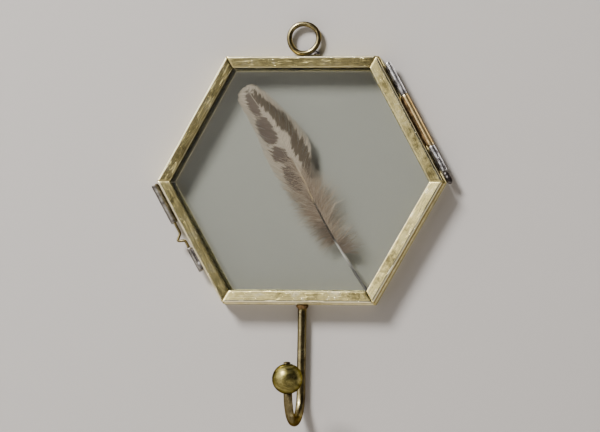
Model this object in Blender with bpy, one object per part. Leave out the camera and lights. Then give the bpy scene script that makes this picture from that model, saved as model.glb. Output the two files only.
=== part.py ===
"""Hinged hexagonal keepsake frame of antique brass and glass, with a feather, a hanging ring and a ball hook.

Metres, +Z up, front towards -Y. The world origin is where the nail bears on the inside of the ring's top.
Every piece is placed from the empty at the middle of the hexagon, in the plane where the two halves meet.
"""

import math

import bpy

MM = 0.001
GAP = 0.3 * MM
PARTING_GAP = 0.3 * MM

# The door's outline: half widths at the flat top and bottom, at the side corners, and half the height.
# The side corners sit a little under the middle, as the frame is bent up by hand.
TOP_HALF_WIDTH = 32.6 * MM
SIDE_HALF_WIDTH = 61.8 * MM
HALF_HEIGHT = 52.7 * MM
SIDE_DROP = 1.0 * MM
BACK_OVERHANG = 0.5 * MM

# The folded channel that edges each pane.
RAIL_DEPTH = 4.4 * MM
DOOR_RAIL_FACE = 5.0 * MM
BACK_RAIL_FACE = 6.4 * MM
RAIL_LIP = 3.0 * MM
SHEET = 0.5 * MM
FOLD_RADIUS = 0.65 * MM
FOLD_STEPS = 4
MITRE_GAP = 0.3 * MM

# Hinge: a barrel outside the upper right side, measured along that side from its top corner.
BARREL_RADIUS = 1.45 * MM
HINGE_BORE_RADIUS = 0.65 * MM
HINGE_PIN_RADIUS = 0.60 * MM
HINGE_START = 4.3 * MM
UPPER_KNUCKLE = 15.3 * MM
MIDDLE_KNUCKLE = 24.6 * MM
LOWER_KNUCKLE = 12.0 * MM
HINGE_PIN_INSET = 1.0 * MM
DRIP_LENGTH = 5.8 * MM
DRIP_RADIUS = 1.35 * MM

# Latch: outside the lower left side, measured along that side from its top corner.
GUIDE_RADIUS = 1.5 * MM
GUIDE_START = 0.2 * MM
GUIDE_LENGTH = 18.6 * MM
KEEPER_RADIUS = 1.1 * MM
KEEPER_LENGTH = 11.0 * MM
LATCH_BORE_CLEARANCE = 0.08 * MM
LATCH_WIRE_RADIUS = 0.55 * MM
LATCH_TRAVEL = 3.0 * MM
LATCH_REST_CLEARANCE = 0.4 * MM
LATCH_STOP_CLEARANCE = 0.5 * MM
THUMB_REACH = 2.4 * MM
THUMB_LENGTH = 4.0 * MM
LATCH_TAIL_INSET = 1.0 * MM
LATCH_LEAD = 5.0 * MM
BEND_EASE = 0.9 * MM

# Hanging ring and the solder that holds it.
RING_OUTER_RADIUS = 7.45 * MM
RING_WIRE_RADIUS = 1.1 * MM
RING_SOLDER_REACH = 7.4 * MM

# Hook, a little to the right of the middle and turned so that the ball stands in front of the middle.
HOOK_ACROSS = 1.2 * MM
HOOK_TWIST_DEG = -2.6
HOOK_WIRE_RADIUS = 1.85 * MM
HOOK_BEND_RADIUS = 12.5 * MM
HOOK_DROP = 36.3 * MM
HOOK_BEND_DEG = 168.0
HOOK_STUB = 1.5 * MM
HOOK_SOLDER_HALF_WIDTH = 3.0 * MM
HOOK_SOLDER_HEIGHT = 0.9 * MM
BALL_RADIUS = 6.45 * MM
SPIGOT_RADIUS = 1.2 * MM
SPIGOT_CLEARANCE = 0.05 * MM
SPIGOT_STAND = 0.35 * MM

# Feather, lying between the panes: shaft points (across, up) from the quill's end to the feather's tip.
SHAFT_POINTS = (
    (29.9, -48.0),
    (28.5, -45.9),
    (24.7, -40.5),
    (20.9, -34.7),
    (17.1, -28.7),
    (13.6, -23.5),
    (10.2, -17.4),
    (7.0, -11.3),
    (4.4, -6.5),
    (1.8, -0.3),
    (-1.7, 5.8),
    (-4.5, 11.0),
    (-7.7, 16.2),
    (-10.6, 20.8),
    (-13.8, 25.4),
    (-17.2, 29.7),
    (-20.8, 34.3),
    (-24.3, 39.4),
)
QUILL_RADIUS = 0.72 * MM
SHAFT_TIP_RADIUS = 0.12 * MM
VANE_THICKNESS = 0.3 * MM
VANE_GAP = 0.1 * MM
# Widths of each side of the feather in millimetres, as (share of the shaft's length, width).
VANE_LEFT = (
    (0.43, 8.7), (0.50, 10.0), (0.58, 10.8), (0.66, 10.5), (0.74, 9.7),
    (0.82, 8.2), (0.90, 6.6), (0.96, 5.3), (0.99, 3.6),
)
VANE_RIGHT = (
    (0.50, 4.0), (0.55, 3.8), (0.61, 7.6), (0.67, 9.9), (0.74, 9.7),
    (0.82, 7.8), (0.90, 5.4), (0.96, 3.6), (0.99, 1.6),
)
DOWN_LEFT = (
    (0.195, 3.0), (0.24, 6.4), (0.29, 8.2),
    (0.34, 7.6), (0.38, 8.0), (0.42, 8.6),
)
DOWN_RIGHT = (
    (0.175, 5.2), (0.22, 9.6), (0.28, 7.2), (0.35, 9.4),
    (0.42, 10.2), (0.46, 8.6), (0.49, 4.6),
)

ROUND_SIDES = 28
WIRE_SIDES = 20
BEND_STEPS = 28
RING_STEPS = 48

BRASS = ((0.47, 0.40, 0.20), 0.34, 1.0)
DARK_BRASS = ((0.30, 0.25, 0.12), 0.38, 1.0)
WARM_BRASS = ((0.56, 0.40, 0.18), 0.30, 1.0)
TINNED = ((0.34, 0.33, 0.33), 0.36, 1.0)
SOLDER = ((0.16, 0.15, 0.14), 0.42, 1.0)
BALL_BRASS = ((0.36, 0.31, 0.12), 0.32, 1.0)
GLASS = ((0.80, 0.86, 0.84), 0.04, 0.0)
QUILL = ((0.62, 0.56, 0.50), 0.45, 0.0)
VANE = ((0.46, 0.38, 0.30), 0.80, 0.0)
DOWN = ((0.40, 0.33, 0.27), 0.90, 0.0)


def clear_scene():
    for item in list(bpy.data.objects):
        bpy.data.objects.remove(item, do_unlink=True)


def make_material(name, finish):
    colour, roughness, metallic = finish
    material = bpy.data.materials.new(name)
    material.use_nodes = True
    shader = material.node_tree.nodes["Principled BSDF"]
    shader.inputs["Base Color"].default_value = (*colour, 1.0)
    shader.inputs["Roughness"].default_value = roughness
    shader.inputs["Metallic"].default_value = metallic
    return material


def make_empty(name, place, parent=None):
    empty = bpy.data.objects.new(name, None)
    bpy.context.scene.collection.objects.link(empty)
    empty.location = place
    empty.parent = parent
    return empty


def make_piece(name, shape, finish, parent, place=(0.0, 0.0, 0.0), tilt=0.0, crease_deg=35.0):
    """Add one closed body. The tilt turns it about the Y axis."""
    points, faces = facing_out(*shape)
    mesh = bpy.data.meshes.new(name)
    mesh.from_pydata(points, [], faces)
    mesh.validate()
    mesh.shade_smooth()
    mesh.set_sharp_from_angle(angle=math.radians(crease_deg))
    mesh.materials.append(make_material(name, finish))
    piece = bpy.data.objects.new(name, mesh)
    bpy.context.scene.collection.objects.link(piece)
    piece.parent = parent
    piece.location = place
    piece.rotation_euler = (0.0, tilt, 0.0)
    return piece


def facing_out(points, faces):
    """Turn every face round if the closed body they bound has a negative volume."""
    volume = 0.0
    for face in faces:
        a = points[face[0]]
        for k in range(1, len(face) - 1):
            normal = cross(points[face[k]], points[face[k + 1]])
            volume += sum(a[i] * normal[i] for i in range(3))
    if volume < 0.0:
        faces = [tuple(reversed(face)) for face in faces]
    return points, faces


def skin(rings, closed=False):
    """Join rings of points, each wound the same way, into a closed body."""
    count = len(rings[0])
    points = [point for ring in rings for point in ring]
    faces = []
    last = len(rings) if closed else len(rings) - 1
    for row in range(last):
        here = row * count
        there = ((row + 1) % len(rings)) * count
        for k in range(count):
            n = (k + 1) % count
            faces.append((here + k, here + n, there + n, there + k))
    if not closed:
        faces.append(tuple(reversed(range(count))))
        end = (len(rings) - 1) * count
        faces.append(tuple(end + k for k in range(count)))
    return points, faces


def circle(radius, height, sides):
    """A ring about the Z axis, anticlockwise seen from above."""
    ring = []
    for k in range(sides):
        angle = 2.0 * math.pi * k / sides
        ring.append((radius * math.cos(angle), radius * math.sin(angle), height))
    return ring


def rod(radius, length, sides=ROUND_SIDES):
    """A solid rod along Z, centred, with small chamfers at its ends."""
    chamfer = 0.25 * radius
    half = length / 2.0
    rings = [
        circle(radius - chamfer, -half, sides),
        circle(radius, -half + chamfer, sides),
        circle(radius, half - chamfer, sides),
        circle(radius - chamfer, half, sides),
    ]
    return skin(rings)


def tube(radius, bore, length, sides=ROUND_SIDES):
    """A tube along Z, centred, with its outer ends eased."""
    ease = 0.15 * (radius - bore)
    half = length / 2.0
    rings = [
        circle(bore, -half, sides),
        circle(radius - ease, -half, sides),
        circle(radius, -half + ease, sides),
        circle(radius, half - ease, sides),
        circle(radius - ease, half, sides),
        circle(bore, half, sides),
    ]
    return skin(rings, closed=True)


def blob(radius, length, sides=ROUND_SIDES, steps=10):
    """A drop of solder along Z, centred."""
    rings = []
    for k in range(1, steps):
        angle = math.pi * k / steps
        rings.append(circle(radius * math.sin(angle), -0.5 * length * math.cos(angle), sides))
    return skin(rings)


def wire(path, radii, sides=WIRE_SIDES):
    """A round wire along a path that lies in one plane. The path's plane is given by its own points."""
    normal = plane_normal(path)
    rings = []
    for k, point in enumerate(path):
        before = path[max(k - 1, 0)]
        after = path[min(k + 1, len(path) - 1)]
        along = unit(difference(after, before))
        side = cross(normal, along)
        rings.append(ring_about(point, side, normal, radii[k], sides))
    return skin(rings)


def ring_about(point, side, normal, radius, sides):
    ring = []
    for k in range(sides):
        angle = 2.0 * math.pi * k / sides
        a = radius * math.cos(angle)
        b = radius * math.sin(angle)
        ring.append(tuple(point[i] + a * side[i] + b * normal[i] for i in range(3)))
    return ring


def difference(a, b):
    return tuple(a[i] - b[i] for i in range(3))


def cross(a, b):
    return (
        a[1] * b[2] - a[2] * b[1],
        a[2] * b[0] - a[0] * b[2],
        a[0] * b[1] - a[1] * b[0],
    )


def unit(a):
    size = math.sqrt(sum(v * v for v in a))
    return tuple(v / size for v in a)


def plane_normal(path):
    total = (0.0, 0.0, 0.0)
    for k in range(1, len(path) - 1):
        turn = cross(difference(path[k], path[0]), difference(path[k + 1], path[0]))
        total = tuple(total[i] + turn[i] for i in range(3))
    return unit(total)


def door_corners():
    """The door's outer corners (across, up), anticlockwise from the right-hand one."""
    return [
        (SIDE_HALF_WIDTH, -SIDE_DROP),
        (TOP_HALF_WIDTH, HALF_HEIGHT),
        (-TOP_HALF_WIDTH, HALF_HEIGHT),
        (-SIDE_HALF_WIDTH, -SIDE_DROP),
        (-TOP_HALF_WIDTH, -HALF_HEIGHT),
        (TOP_HALF_WIDTH, -HALF_HEIGHT),
    ]


def side_direction(corners, k):
    a = corners[k]
    b = corners[(k + 1) % len(corners)]
    length = math.hypot(b[0] - a[0], b[1] - a[1])
    return (b[0] - a[0]) / length, (b[1] - a[1]) / length, length


def grown(corners, distance):
    """The outline with every side moved outwards by the distance."""
    result = []
    for k in range(len(corners)):
        ax, az, _ = side_direction(corners, k - 1)
        bx, bz, _ = side_direction(corners, k)
        share = distance / (1.0 + ax * bx + az * bz)
        result.append((corners[k][0] + share * (az + bz), corners[k][1] - share * (ax + bx)))
    return result


def turn_between(corners, k):
    """The angle turned at corner k."""
    ax, az, _ = side_direction(corners, k - 1)
    bx, bz, _ = side_direction(corners, k)
    return math.acos(ax * bx + az * bz)


def channel_profile(face):
    """The folded channel's section as (outwards, depth from its outer face), with a face of that width."""
    fold = FOLD_RADIUS
    inner = FOLD_RADIUS - SHEET
    depth = RAIL_DEPTH
    outer_front = arc_points(-fold, fold, fold, -90.0, 0.0)
    outer_back = arc_points(-fold, depth - fold, fold, 0.0, 90.0)
    inner_back = arc_points(-fold, depth - fold, inner, 90.0, 0.0)
    inner_front = arc_points(-fold, fold, inner, 0.0, -90.0)
    profile = [(-face, 0.0)]
    profile += outer_front
    profile += outer_back
    profile += [(-RAIL_LIP, depth), (-RAIL_LIP, depth - SHEET)]
    profile += inner_back
    profile += inner_front
    profile += [(-face, SHEET)]
    return profile


def arc_points(x, y, radius, start_deg, end_deg):
    points = []
    for k in range(FOLD_STEPS + 1):
        angle = math.radians(start_deg + (end_deg - start_deg) * k / FOLD_STEPS)
        points.append((x + radius * math.cos(angle), y + radius * math.sin(angle)))
    return points


def rail_shape(corners, k, face_y, inwards, face):
    """One mitred rail: X outwards, Y depth, Z along the side. The face is at face_y, the channel behind it."""
    _, _, length = side_direction(corners, k)
    start_turn = turn_between(corners, k) / 2.0
    end_turn = turn_between(corners, (k + 1) % len(corners)) / 2.0
    profile = channel_profile(face)
    low = []
    high = []
    for x, depth in profile:
        y = face_y + inwards * depth
        trim_low = MITRE_GAP / 2.0 / math.cos(start_turn)
        trim_high = MITRE_GAP / 2.0 / math.cos(end_turn)
        low.append((x, y, -length / 2.0 - x * math.tan(start_turn) + trim_low))
        high.append((x, y, length / 2.0 + x * math.tan(end_turn) - trim_high))
    return skin([low, high])


def side_frame(corners, k, along, outwards):
    """A point on side k, from its first corner, and the tilt that turns Z to the side's direction."""
    dx, dz, _ = side_direction(corners, k)
    x = corners[k][0] + dx * along + dz * outwards
    z = corners[k][1] + dz * along - dx * outwards
    return (x, 0.0, z), math.atan2(dx, dz)


def add_rails(prefix, corners, face_y, inwards, parent, face):
    names = ("upper_right", "top", "upper_left", "lower_left", "bottom", "lower_right")
    for k, name in enumerate(names):
        _, _, length = side_direction(corners, k)
        place, tilt = side_frame(corners, k, length / 2.0, 0.0)
        local = difference(place, parent_offset(parent))
        shape = rail_shape(corners, k, face_y, inwards, face)
        make_piece(prefix + "_rail_" + name, shape, BRASS, parent, local, tilt)


def parent_offset(parent):
    """Where the parent stands in the frame's own coordinates."""
    if parent.parent is None:
        return (0.0, 0.0, 0.0)
    return tuple(parent.location)


def add_glass(name, corners, face_y, inwards, parent):
    outline = grown(corners, -(SHEET + GAP))
    near = face_y + inwards * (SHEET + GAP)
    far = face_y + inwards * (RAIL_DEPTH - SHEET - GAP)
    offset = parent_offset(parent)
    front = min(near, far)
    back = max(near, far)
    chamfer = 0.2 * MM
    small = grown(outline, -chamfer)
    layers = ((small, front), (outline, front + chamfer), (outline, back - chamfer), (small, back))
    rings = []
    for loop, y in layers:
        rings.append([(x - offset[0], y - offset[1], z - offset[2]) for x, z in loop])
    make_piece(name, skin(rings), GLASS, parent)


def fillet_shape(radius, axis_from_wall, side, length):
    """Solder in the valley between a barrel and the wall beside it. X runs outwards from the barrel's axis."""
    reach = radius + GAP
    open_angle = 0.0
    if axis_from_wall - GAP < reach:
        open_angle = math.acos((axis_from_wall - GAP) / reach)
    first = max(open_angle, math.radians(12.0))
    last = math.radians(72.0)
    steps = 6
    loop = []
    for k in range(steps + 1):
        angle = first + (last - first) * k / steps
        loop.append((-reach * math.cos(angle), side * reach * math.sin(angle)))
    wall = GAP - axis_from_wall
    top = side * reach * 1.35
    middle = ((loop[-1][0] + wall) / 2.0 - 0.1 * radius, (loop[-1][1] + top) / 2.0 - side * 0.12 * radius)
    loop += [middle, (wall, top)]
    if first > open_angle:
        loop.append((wall, loop[0][1]))
    half = length / 2.0
    return skin([[(x, y, -half) for x, y in loop], [(x, y, half) for x, y in loop]])


def hinge_axis_offset():
    """From the door's wall to the hinge's axis."""
    return BACK_OVERHANG + GAP + BARREL_RADIUS


def hinge_point(corners, from_top):
    """A point on the hinge's axis. The side is wound upwards, so it is measured back from its top corner."""
    _, _, length = side_direction(corners, 0)
    return side_frame(corners, 0, length - from_top, hinge_axis_offset())


def knuckle_spans():
    """Distances from the top corner to the start and end of each knuckle."""
    upper = (HINGE_START, HINGE_START + UPPER_KNUCKLE)
    middle = (upper[1] + GAP, upper[1] + GAP + MIDDLE_KNUCKLE)
    lower = (middle[1] + GAP, middle[1] + GAP + LOWER_KNUCKLE)
    return upper, middle, lower


def add_barrel_piece(name, shape, finish, corners, middle, parent):
    place, tilt = hinge_point(corners, middle)
    make_piece(name, shape, finish, parent, difference(place, parent_offset(parent)), tilt)


def add_hinge(corners, centre, door):
    """The back half carries the end knuckles and the pin, the door carries the middle one."""
    spans = knuckle_spans()
    names = ("upper", "middle", "lower")
    finishes = (TINNED, WARM_BRASS, TINNED)
    parents = (centre, door, centre)
    for span, name, finish, parent in zip(spans, names, finishes, parents):
        length = span[1] - span[0]
        middle = (span[0] + span[1]) / 2.0
        shape = tube(BARREL_RADIUS, HINGE_BORE_RADIUS, length)
        add_barrel_piece("hinge_knuckle_" + name, shape, finish, corners, middle, parent)
        wall = GAP + BARREL_RADIUS
        side = 1.0
        if parent is door:
            wall = hinge_axis_offset()
            side = -1.0
        solder = fillet_shape(BARREL_RADIUS, wall, side, length - 2.0 * GAP)
        add_barrel_piece("hinge_solder_" + name, solder, SOLDER, corners, middle, parent)
    start = spans[0][0] + HINGE_PIN_INSET
    end = spans[2][1] - HINGE_PIN_INSET
    pin = rod(HINGE_PIN_RADIUS, end - start, WIRE_SIDES)
    add_barrel_piece("hinge_pin", pin, DARK_BRASS, corners, (start + end) / 2.0, centre)
    drip_middle = spans[2][1] + GAP + DRIP_LENGTH / 2.0
    add_barrel_piece("hinge_solder_drip", blob(DRIP_RADIUS, DRIP_LENGTH), SOLDER, corners, drip_middle, centre)


def latch_point(corners, from_top, outwards):
    return side_frame(corners, 3, from_top, outwards)


def guide_axis_offset():
    return BACK_OVERHANG + GAP + GUIDE_RADIUS


def keeper_axis_offset():
    return BACK_OVERHANG + GAP + KEEPER_RADIUS


def latch_wire_path():
    """The bolt's wire in its own frame: X outwards from the guide's axis, Z down the side from the guide's end."""
    step = keeper_axis_offset() - guide_axis_offset()
    tail = -(GUIDE_LENGTH - LATCH_TAIL_INSET)
    foot = LATCH_LEAD + THUMB_LENGTH
    knots = (
        (0.0, tail),
        (0.0, LATCH_LEAD),
        (THUMB_REACH * 0.25, LATCH_LEAD + 0.22 * THUMB_LENGTH),
        (THUMB_REACH, LATCH_LEAD + 0.56 * THUMB_LENGTH),
        (THUMB_REACH * 0.9, LATCH_LEAD + 0.72 * THUMB_LENGTH),
        (step, foot),
        (step, foot + latch_tip()),
    )
    return rounded_path(knots, BEND_EASE, 4)


def latch_tip():
    """The straight end of the bolt: all its travel, and a little to spare before the bend meets the keeper."""
    return LATCH_TRAVEL + LATCH_STOP_CLEARANCE


def rounded_path(knots, ease, steps):
    """The knots in the XZ plane, with every inner corner eased by a short curve."""
    path = [(knots[0][0], 0.0, knots[0][1])]
    for k in range(1, len(knots) - 1):
        here = knots[k]
        first = towards(here, knots[k - 1], ease)
        last = towards(here, knots[k + 1], ease)
        for s in range(steps + 1):
            t = s / steps
            x = (1 - t) ** 2 * first[0] + 2 * t * (1 - t) * here[0] + t * t * last[0]
            z = (1 - t) ** 2 * first[1] + 2 * t * (1 - t) * here[1] + t * t * last[1]
            path.append((x, 0.0, z))
    path.append((knots[-1][0], 0.0, knots[-1][1]))
    return path


def towards(a, b, distance):
    length = math.hypot(b[0] - a[0], b[1] - a[1])
    share = min(distance, 0.45 * length) / length
    return a[0] + (b[0] - a[0]) * share, a[1] + (b[1] - a[1]) * share


def keeper_start():
    """Where the keeper's mouth stands, clear of the bolt's tip while the bolt is drawn back."""
    bolt_end = GUIDE_START + GUIDE_LENGTH + LATCH_LEAD + THUMB_LENGTH + latch_tip()
    return bolt_end + LATCH_REST_CLEARANCE


def add_latch(corners, centre, door):
    middle = GUIDE_START + GUIDE_LENGTH / 2.0
    bore = LATCH_WIRE_RADIUS + LATCH_BORE_CLEARANCE
    place, tilt = latch_point(corners, middle, guide_axis_offset())
    make_piece("latch_guide", tube(GUIDE_RADIUS, bore, GUIDE_LENGTH), TINNED, centre, place, tilt)
    solder = fillet_shape(GUIDE_RADIUS, GAP + GUIDE_RADIUS, 1.0, GUIDE_LENGTH - 2.0 * GAP)
    make_piece("latch_guide_solder", solder, SOLDER, centre, place, tilt)

    offset = parent_offset(door)
    middle = keeper_start() + KEEPER_LENGTH / 2.0
    place, tilt = latch_point(corners, middle, keeper_axis_offset())
    local = difference(place, offset)
    make_piece("latch_keeper", tube(KEEPER_RADIUS, bore, KEEPER_LENGTH), TINNED, door, local, tilt)
    solder = fillet_shape(KEEPER_RADIUS, keeper_axis_offset(), -1.0, KEEPER_LENGTH - 2.0 * GAP)
    make_piece("latch_keeper_solder", solder, SOLDER, door, local, tilt)

    place, tilt = latch_point(corners, GUIDE_START + GUIDE_LENGTH, guide_axis_offset())
    slide = make_empty("latch_slide", place, centre)
    path = latch_wire_path()
    radii = [LATCH_WIRE_RADIUS] * len(path)
    make_piece("latch_bolt", wire(path, radii, 16), DARK_BRASS, slide, (0.0, 0.0, 0.0), tilt)


def back_middle():
    """The middle of the back half's depth."""
    return PARTING_GAP / 2.0 + RAIL_DEPTH / 2.0


def back_top():
    return HALF_HEIGHT + BACK_OVERHANG


def ring_centre_height():
    return back_top() + GAP + RING_OUTER_RADIUS


def add_ring(centre):
    radius = RING_OUTER_RADIUS - RING_WIRE_RADIUS
    rings = []
    for k in range(RING_STEPS):
        angle = 2.0 * math.pi * k / RING_STEPS
        outward = (math.cos(angle), 0.0, math.sin(angle))
        point = tuple(radius * v for v in outward)
        rings.append(ring_about(point, outward, (0.0, 1.0, 0.0), RING_WIRE_RADIUS, WIRE_SIDES))
    place = (0.0, back_middle(), ring_centre_height())
    make_piece("hanging_ring", skin(rings, closed=True), DARK_BRASS, centre, place)
    make_piece("ring_solder", ring_solder_shape(), SOLDER, centre, place)


def ring_solder_shape():
    """A run of solder in the valley to the right of where the ring stands on the top rail."""
    reach = RING_OUTER_RADIUS + GAP
    floor = -RING_OUTER_RADIUS
    steps = 8
    start = math.acos(-(floor + 0.12 * MM) / reach)
    end = math.radians(50.0)
    loop = []
    for k in range(steps + 1):
        angle = start + (end - start) * k / steps
        loop.append((reach * math.sin(angle), -reach * math.cos(angle)))
    loop.append((loop[-1][0] + 0.25 * MM, loop[-1][1] - 0.5 * MM))
    loop.append((RING_SOLDER_REACH, floor + 0.5 * MM))
    loop.append((RING_SOLDER_REACH, floor))
    loop.append((loop[0][0], floor))
    half = 0.85 * RING_WIRE_RADIUS
    rings = []
    for y in (-half, half):
        rings.append([(x, y, z) for x, z in loop])
    return skin(rings)


def hook_path():
    """The hook's wire in the YZ plane, from the top of the stem round to where the ball is seated."""
    path = [(0.0, 0.0, 0.0), (0.0, 0.0, -HOOK_DROP / 2.0)]
    for k in range(BEND_STEPS + 1):
        angle = math.radians(HOOK_BEND_DEG) * k / BEND_STEPS
        y = -HOOK_BEND_RADIUS + HOOK_BEND_RADIUS * math.cos(angle)
        z = -HOOK_DROP - HOOK_BEND_RADIUS * math.sin(angle)
        path.append((0.0, y, z))
    return path


def hook_end_direction():
    lean = math.radians(180.0 - HOOK_BEND_DEG)
    return (0.0, -math.sin(lean), math.cos(lean))


def add_hook(centre):
    pad_top = -back_top() - GAP
    stem_top = pad_top - HOOK_SOLDER_HEIGHT - GAP
    place = (HOOK_ACROSS, back_middle(), stem_top)
    twist = math.radians(HOOK_TWIST_DEG)
    path = hook_path()
    radii = [HOOK_WIRE_RADIUS] * len(path)
    radii[0] = HOOK_WIRE_RADIUS * 0.9
    path.insert(1, (0.0, 0.0, -0.2 * HOOK_WIRE_RADIUS))
    radii.insert(1, HOOK_WIRE_RADIUS)
    along = hook_end_direction()
    seat = stepped(path[-1], along, HOOK_STUB)
    path.append(seat)
    radii.append(HOOK_WIRE_RADIUS)
    path.append(stepped(seat, along, 0.05 * MM))
    radii.append(SPIGOT_RADIUS)
    path.append(stepped(seat, along, GAP + 2.0 * BALL_RADIUS + 0.05 * MM))
    radii.append(SPIGOT_RADIUS)
    path.append(stepped(path[-1], along, SPIGOT_STAND))
    radii.append(SPIGOT_RADIUS * 0.75)
    hook = make_piece("hook_wire", wire(path, radii), DARK_BRASS, centre, place)
    hook.rotation_euler = (0.0, 0.0, twist)

    reach = stepped(seat, along, GAP + ball_half_height())
    turned = (-reach[1] * math.sin(twist), reach[1] * math.cos(twist), reach[2])
    lean = math.radians(180.0 - HOOK_BEND_DEG)
    ball = make_piece("hook_ball", ball_shape(), BALL_BRASS, centre, stepped(place, turned, 1.0))
    ball.rotation_euler = (lean, 0.0, twist)

    pad = oval_pad(HOOK_SOLDER_HALF_WIDTH, 0.43 * RAIL_DEPTH, HOOK_SOLDER_HEIGHT)
    make_piece("hook_solder", pad, SOLDER, centre, (HOOK_ACROSS, back_middle(), pad_top))


def stepped(point, direction, distance):
    return tuple(point[i] + direction[i] * distance for i in range(3))


def ball_bore():
    return SPIGOT_RADIUS + SPIGOT_CLEARANCE


def ball_half_height():
    """Half the height of the drilled ball along its bore."""
    return math.sqrt(BALL_RADIUS**2 - ball_bore() ** 2)


def ball_shape():
    """A ball drilled through along Z."""
    first = math.asin(ball_bore() / BALL_RADIUS)
    steps = 22
    rings = []
    for k in range(steps + 1):
        angle = first + (math.pi - 2.0 * first) * k / steps
        rings.append(circle(BALL_RADIUS * math.sin(angle), -BALL_RADIUS * math.cos(angle), 36))
    return skin(rings, closed=True)


def oval_pad(half_x, half_y, height):
    """A low oval of solder hanging down from z = 0."""
    rings = []
    for share, z in ((0.8, -height), (1.0, -0.6 * height), (1.0, -0.1 * height), (0.92, 0.0)):
        ring = []
        for k in range(WIRE_SIDES):
            angle = 2.0 * math.pi * k / WIRE_SIDES
            ring.append((share * half_x * math.cos(angle), share * half_y * math.sin(angle), z))
        rings.append(ring)
    return skin(rings)


def shaft_curve(samples=56):
    """The feather's shaft as even points (across, up) in metres."""
    knots = [(x * MM, z * MM) for x, z in SHAFT_POINTS]
    travel = [0.0]
    for a, b in zip(knots, knots[1:]):
        travel.append(travel[-1] + math.hypot(b[0] - a[0], b[1] - a[1]))
    rough = []
    for k in range(samples + 1):
        rough.append(point_at(knots, travel, travel[-1] * k / samples))
    for _ in range(12):
        inner = [average(rough[k - 1], rough[k], rough[k + 1]) for k in range(1, samples)]
        rough = [rough[0], *inner, rough[-1]]
    return rough


def average(a, b, c):
    return (a[0] + 2.0 * b[0] + c[0]) / 4.0, (a[1] + 2.0 * b[1] + c[1]) / 4.0


def point_at(knots, travel, distance):
    for k in range(1, len(knots)):
        if distance <= travel[k]:
            share = (distance - travel[k - 1]) / (travel[k] - travel[k - 1])
            a = knots[k - 1]
            b = knots[k]
            return a[0] + (b[0] - a[0]) * share, a[1] + (b[1] - a[1]) * share
    return knots[-1]


def shaft_radius(share):
    return QUILL_RADIUS + (SHAFT_TIP_RADIUS - QUILL_RADIUS) * share**0.8


def vane_shape(curve, widths, side):
    """One side of the feather: a thin strip from beside the shaft out to its edge."""
    samples = len(curve) - 1
    first = widths[0][0]
    last = widths[-1][0]
    rings = []
    steps = 30
    half = VANE_THICKNESS / 2.0
    for k in range(steps + 1):
        share = first + (last - first) * k / steps
        place = share * samples
        low = min(int(place), samples - 1)
        blend = place - low
        a = curve[low]
        b = curve[low + 1]
        x = a[0] + (b[0] - a[0]) * blend
        z = a[1] + (b[1] - a[1]) * blend
        length = math.hypot(b[0] - a[0], b[1] - a[1])
        nx = -(b[1] - a[1]) / length * side
        nz = (b[0] - a[0]) / length * side
        near = shaft_radius(share) + VANE_GAP
        far = max(width_at(widths, share) * MM, near + 0.3 * MM)
        middle = (near + far) / 2.0
        ring = [(near, -half), (middle, -half), (far, -half * 0.5), (far, half * 0.5), (middle, half), (near, half)]
        rings.append([(x + nx * out, y, z + nz * out) for out, y in ring])
    return skin(rings)


def width_at(widths, share):
    for (a, wide_a), (b, wide_b) in zip(widths, widths[1:]):
        if share <= b:
            return wide_a + (wide_b - wide_a) * (share - a) / (b - a)
    return widths[-1][1]


def add_feather(centre):
    curve = shaft_curve()
    path = [(x, 0.0, z) for x, z in curve]
    radii = [shaft_radius(k / (len(path) - 1)) for k in range(len(path))]
    radii[0] = 0.5 * QUILL_RADIUS
    make_piece("feather_quill", wire(path, radii, 14), QUILL, centre)
    make_piece("feather_vane_left", vane_shape(curve, VANE_LEFT, 1.0), VANE, centre)
    make_piece("feather_vane_right", vane_shape(curve, VANE_RIGHT, -1.0), VANE, centre)
    make_piece("feather_down_left", vane_shape(curve, DOWN_LEFT, 1.0), DOWN, centre)
    make_piece("feather_down_right", vane_shape(curve, DOWN_RIGHT, -1.0), DOWN, centre)


def build():
    clear_scene()
    hang_height = ring_centre_height() + RING_OUTER_RADIUS - 2.0 * RING_WIRE_RADIUS
    centre = make_empty("frame_centre", (0.0, -back_middle(), -hang_height))
    corners = door_corners()
    back = grown(corners, BACK_OVERHANG)
    pivot_place, _ = hinge_point(corners, sum(knuckle_spans()[1]) / 2.0)
    door = make_empty("door_pivot", pivot_place, centre)
    outer = PARTING_GAP / 2.0 + RAIL_DEPTH
    add_rails("back", back, outer, -1.0, centre, BACK_RAIL_FACE)
    add_rails("door", corners, -outer, 1.0, door, DOOR_RAIL_FACE)
    add_glass("back_glass", back, outer, -1.0, centre)
    add_glass("door_glass", corners, -outer, 1.0, door)
    add_ring(centre)
    add_hook(centre)
    add_hinge(corners, centre, door)
    add_latch(corners, centre, door)
    add_feather(centre)


build()
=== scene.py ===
"""Looks of a hinged hexagonal keepsake frame of aged brass and glass, with a feather and a ball hook."""

import logging
import math
import random
from dataclasses import dataclass, field
from enum import Enum
from typing import Protocol

import bmesh
import bpy
from mathutils import Matrix, Vector, noise


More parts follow.
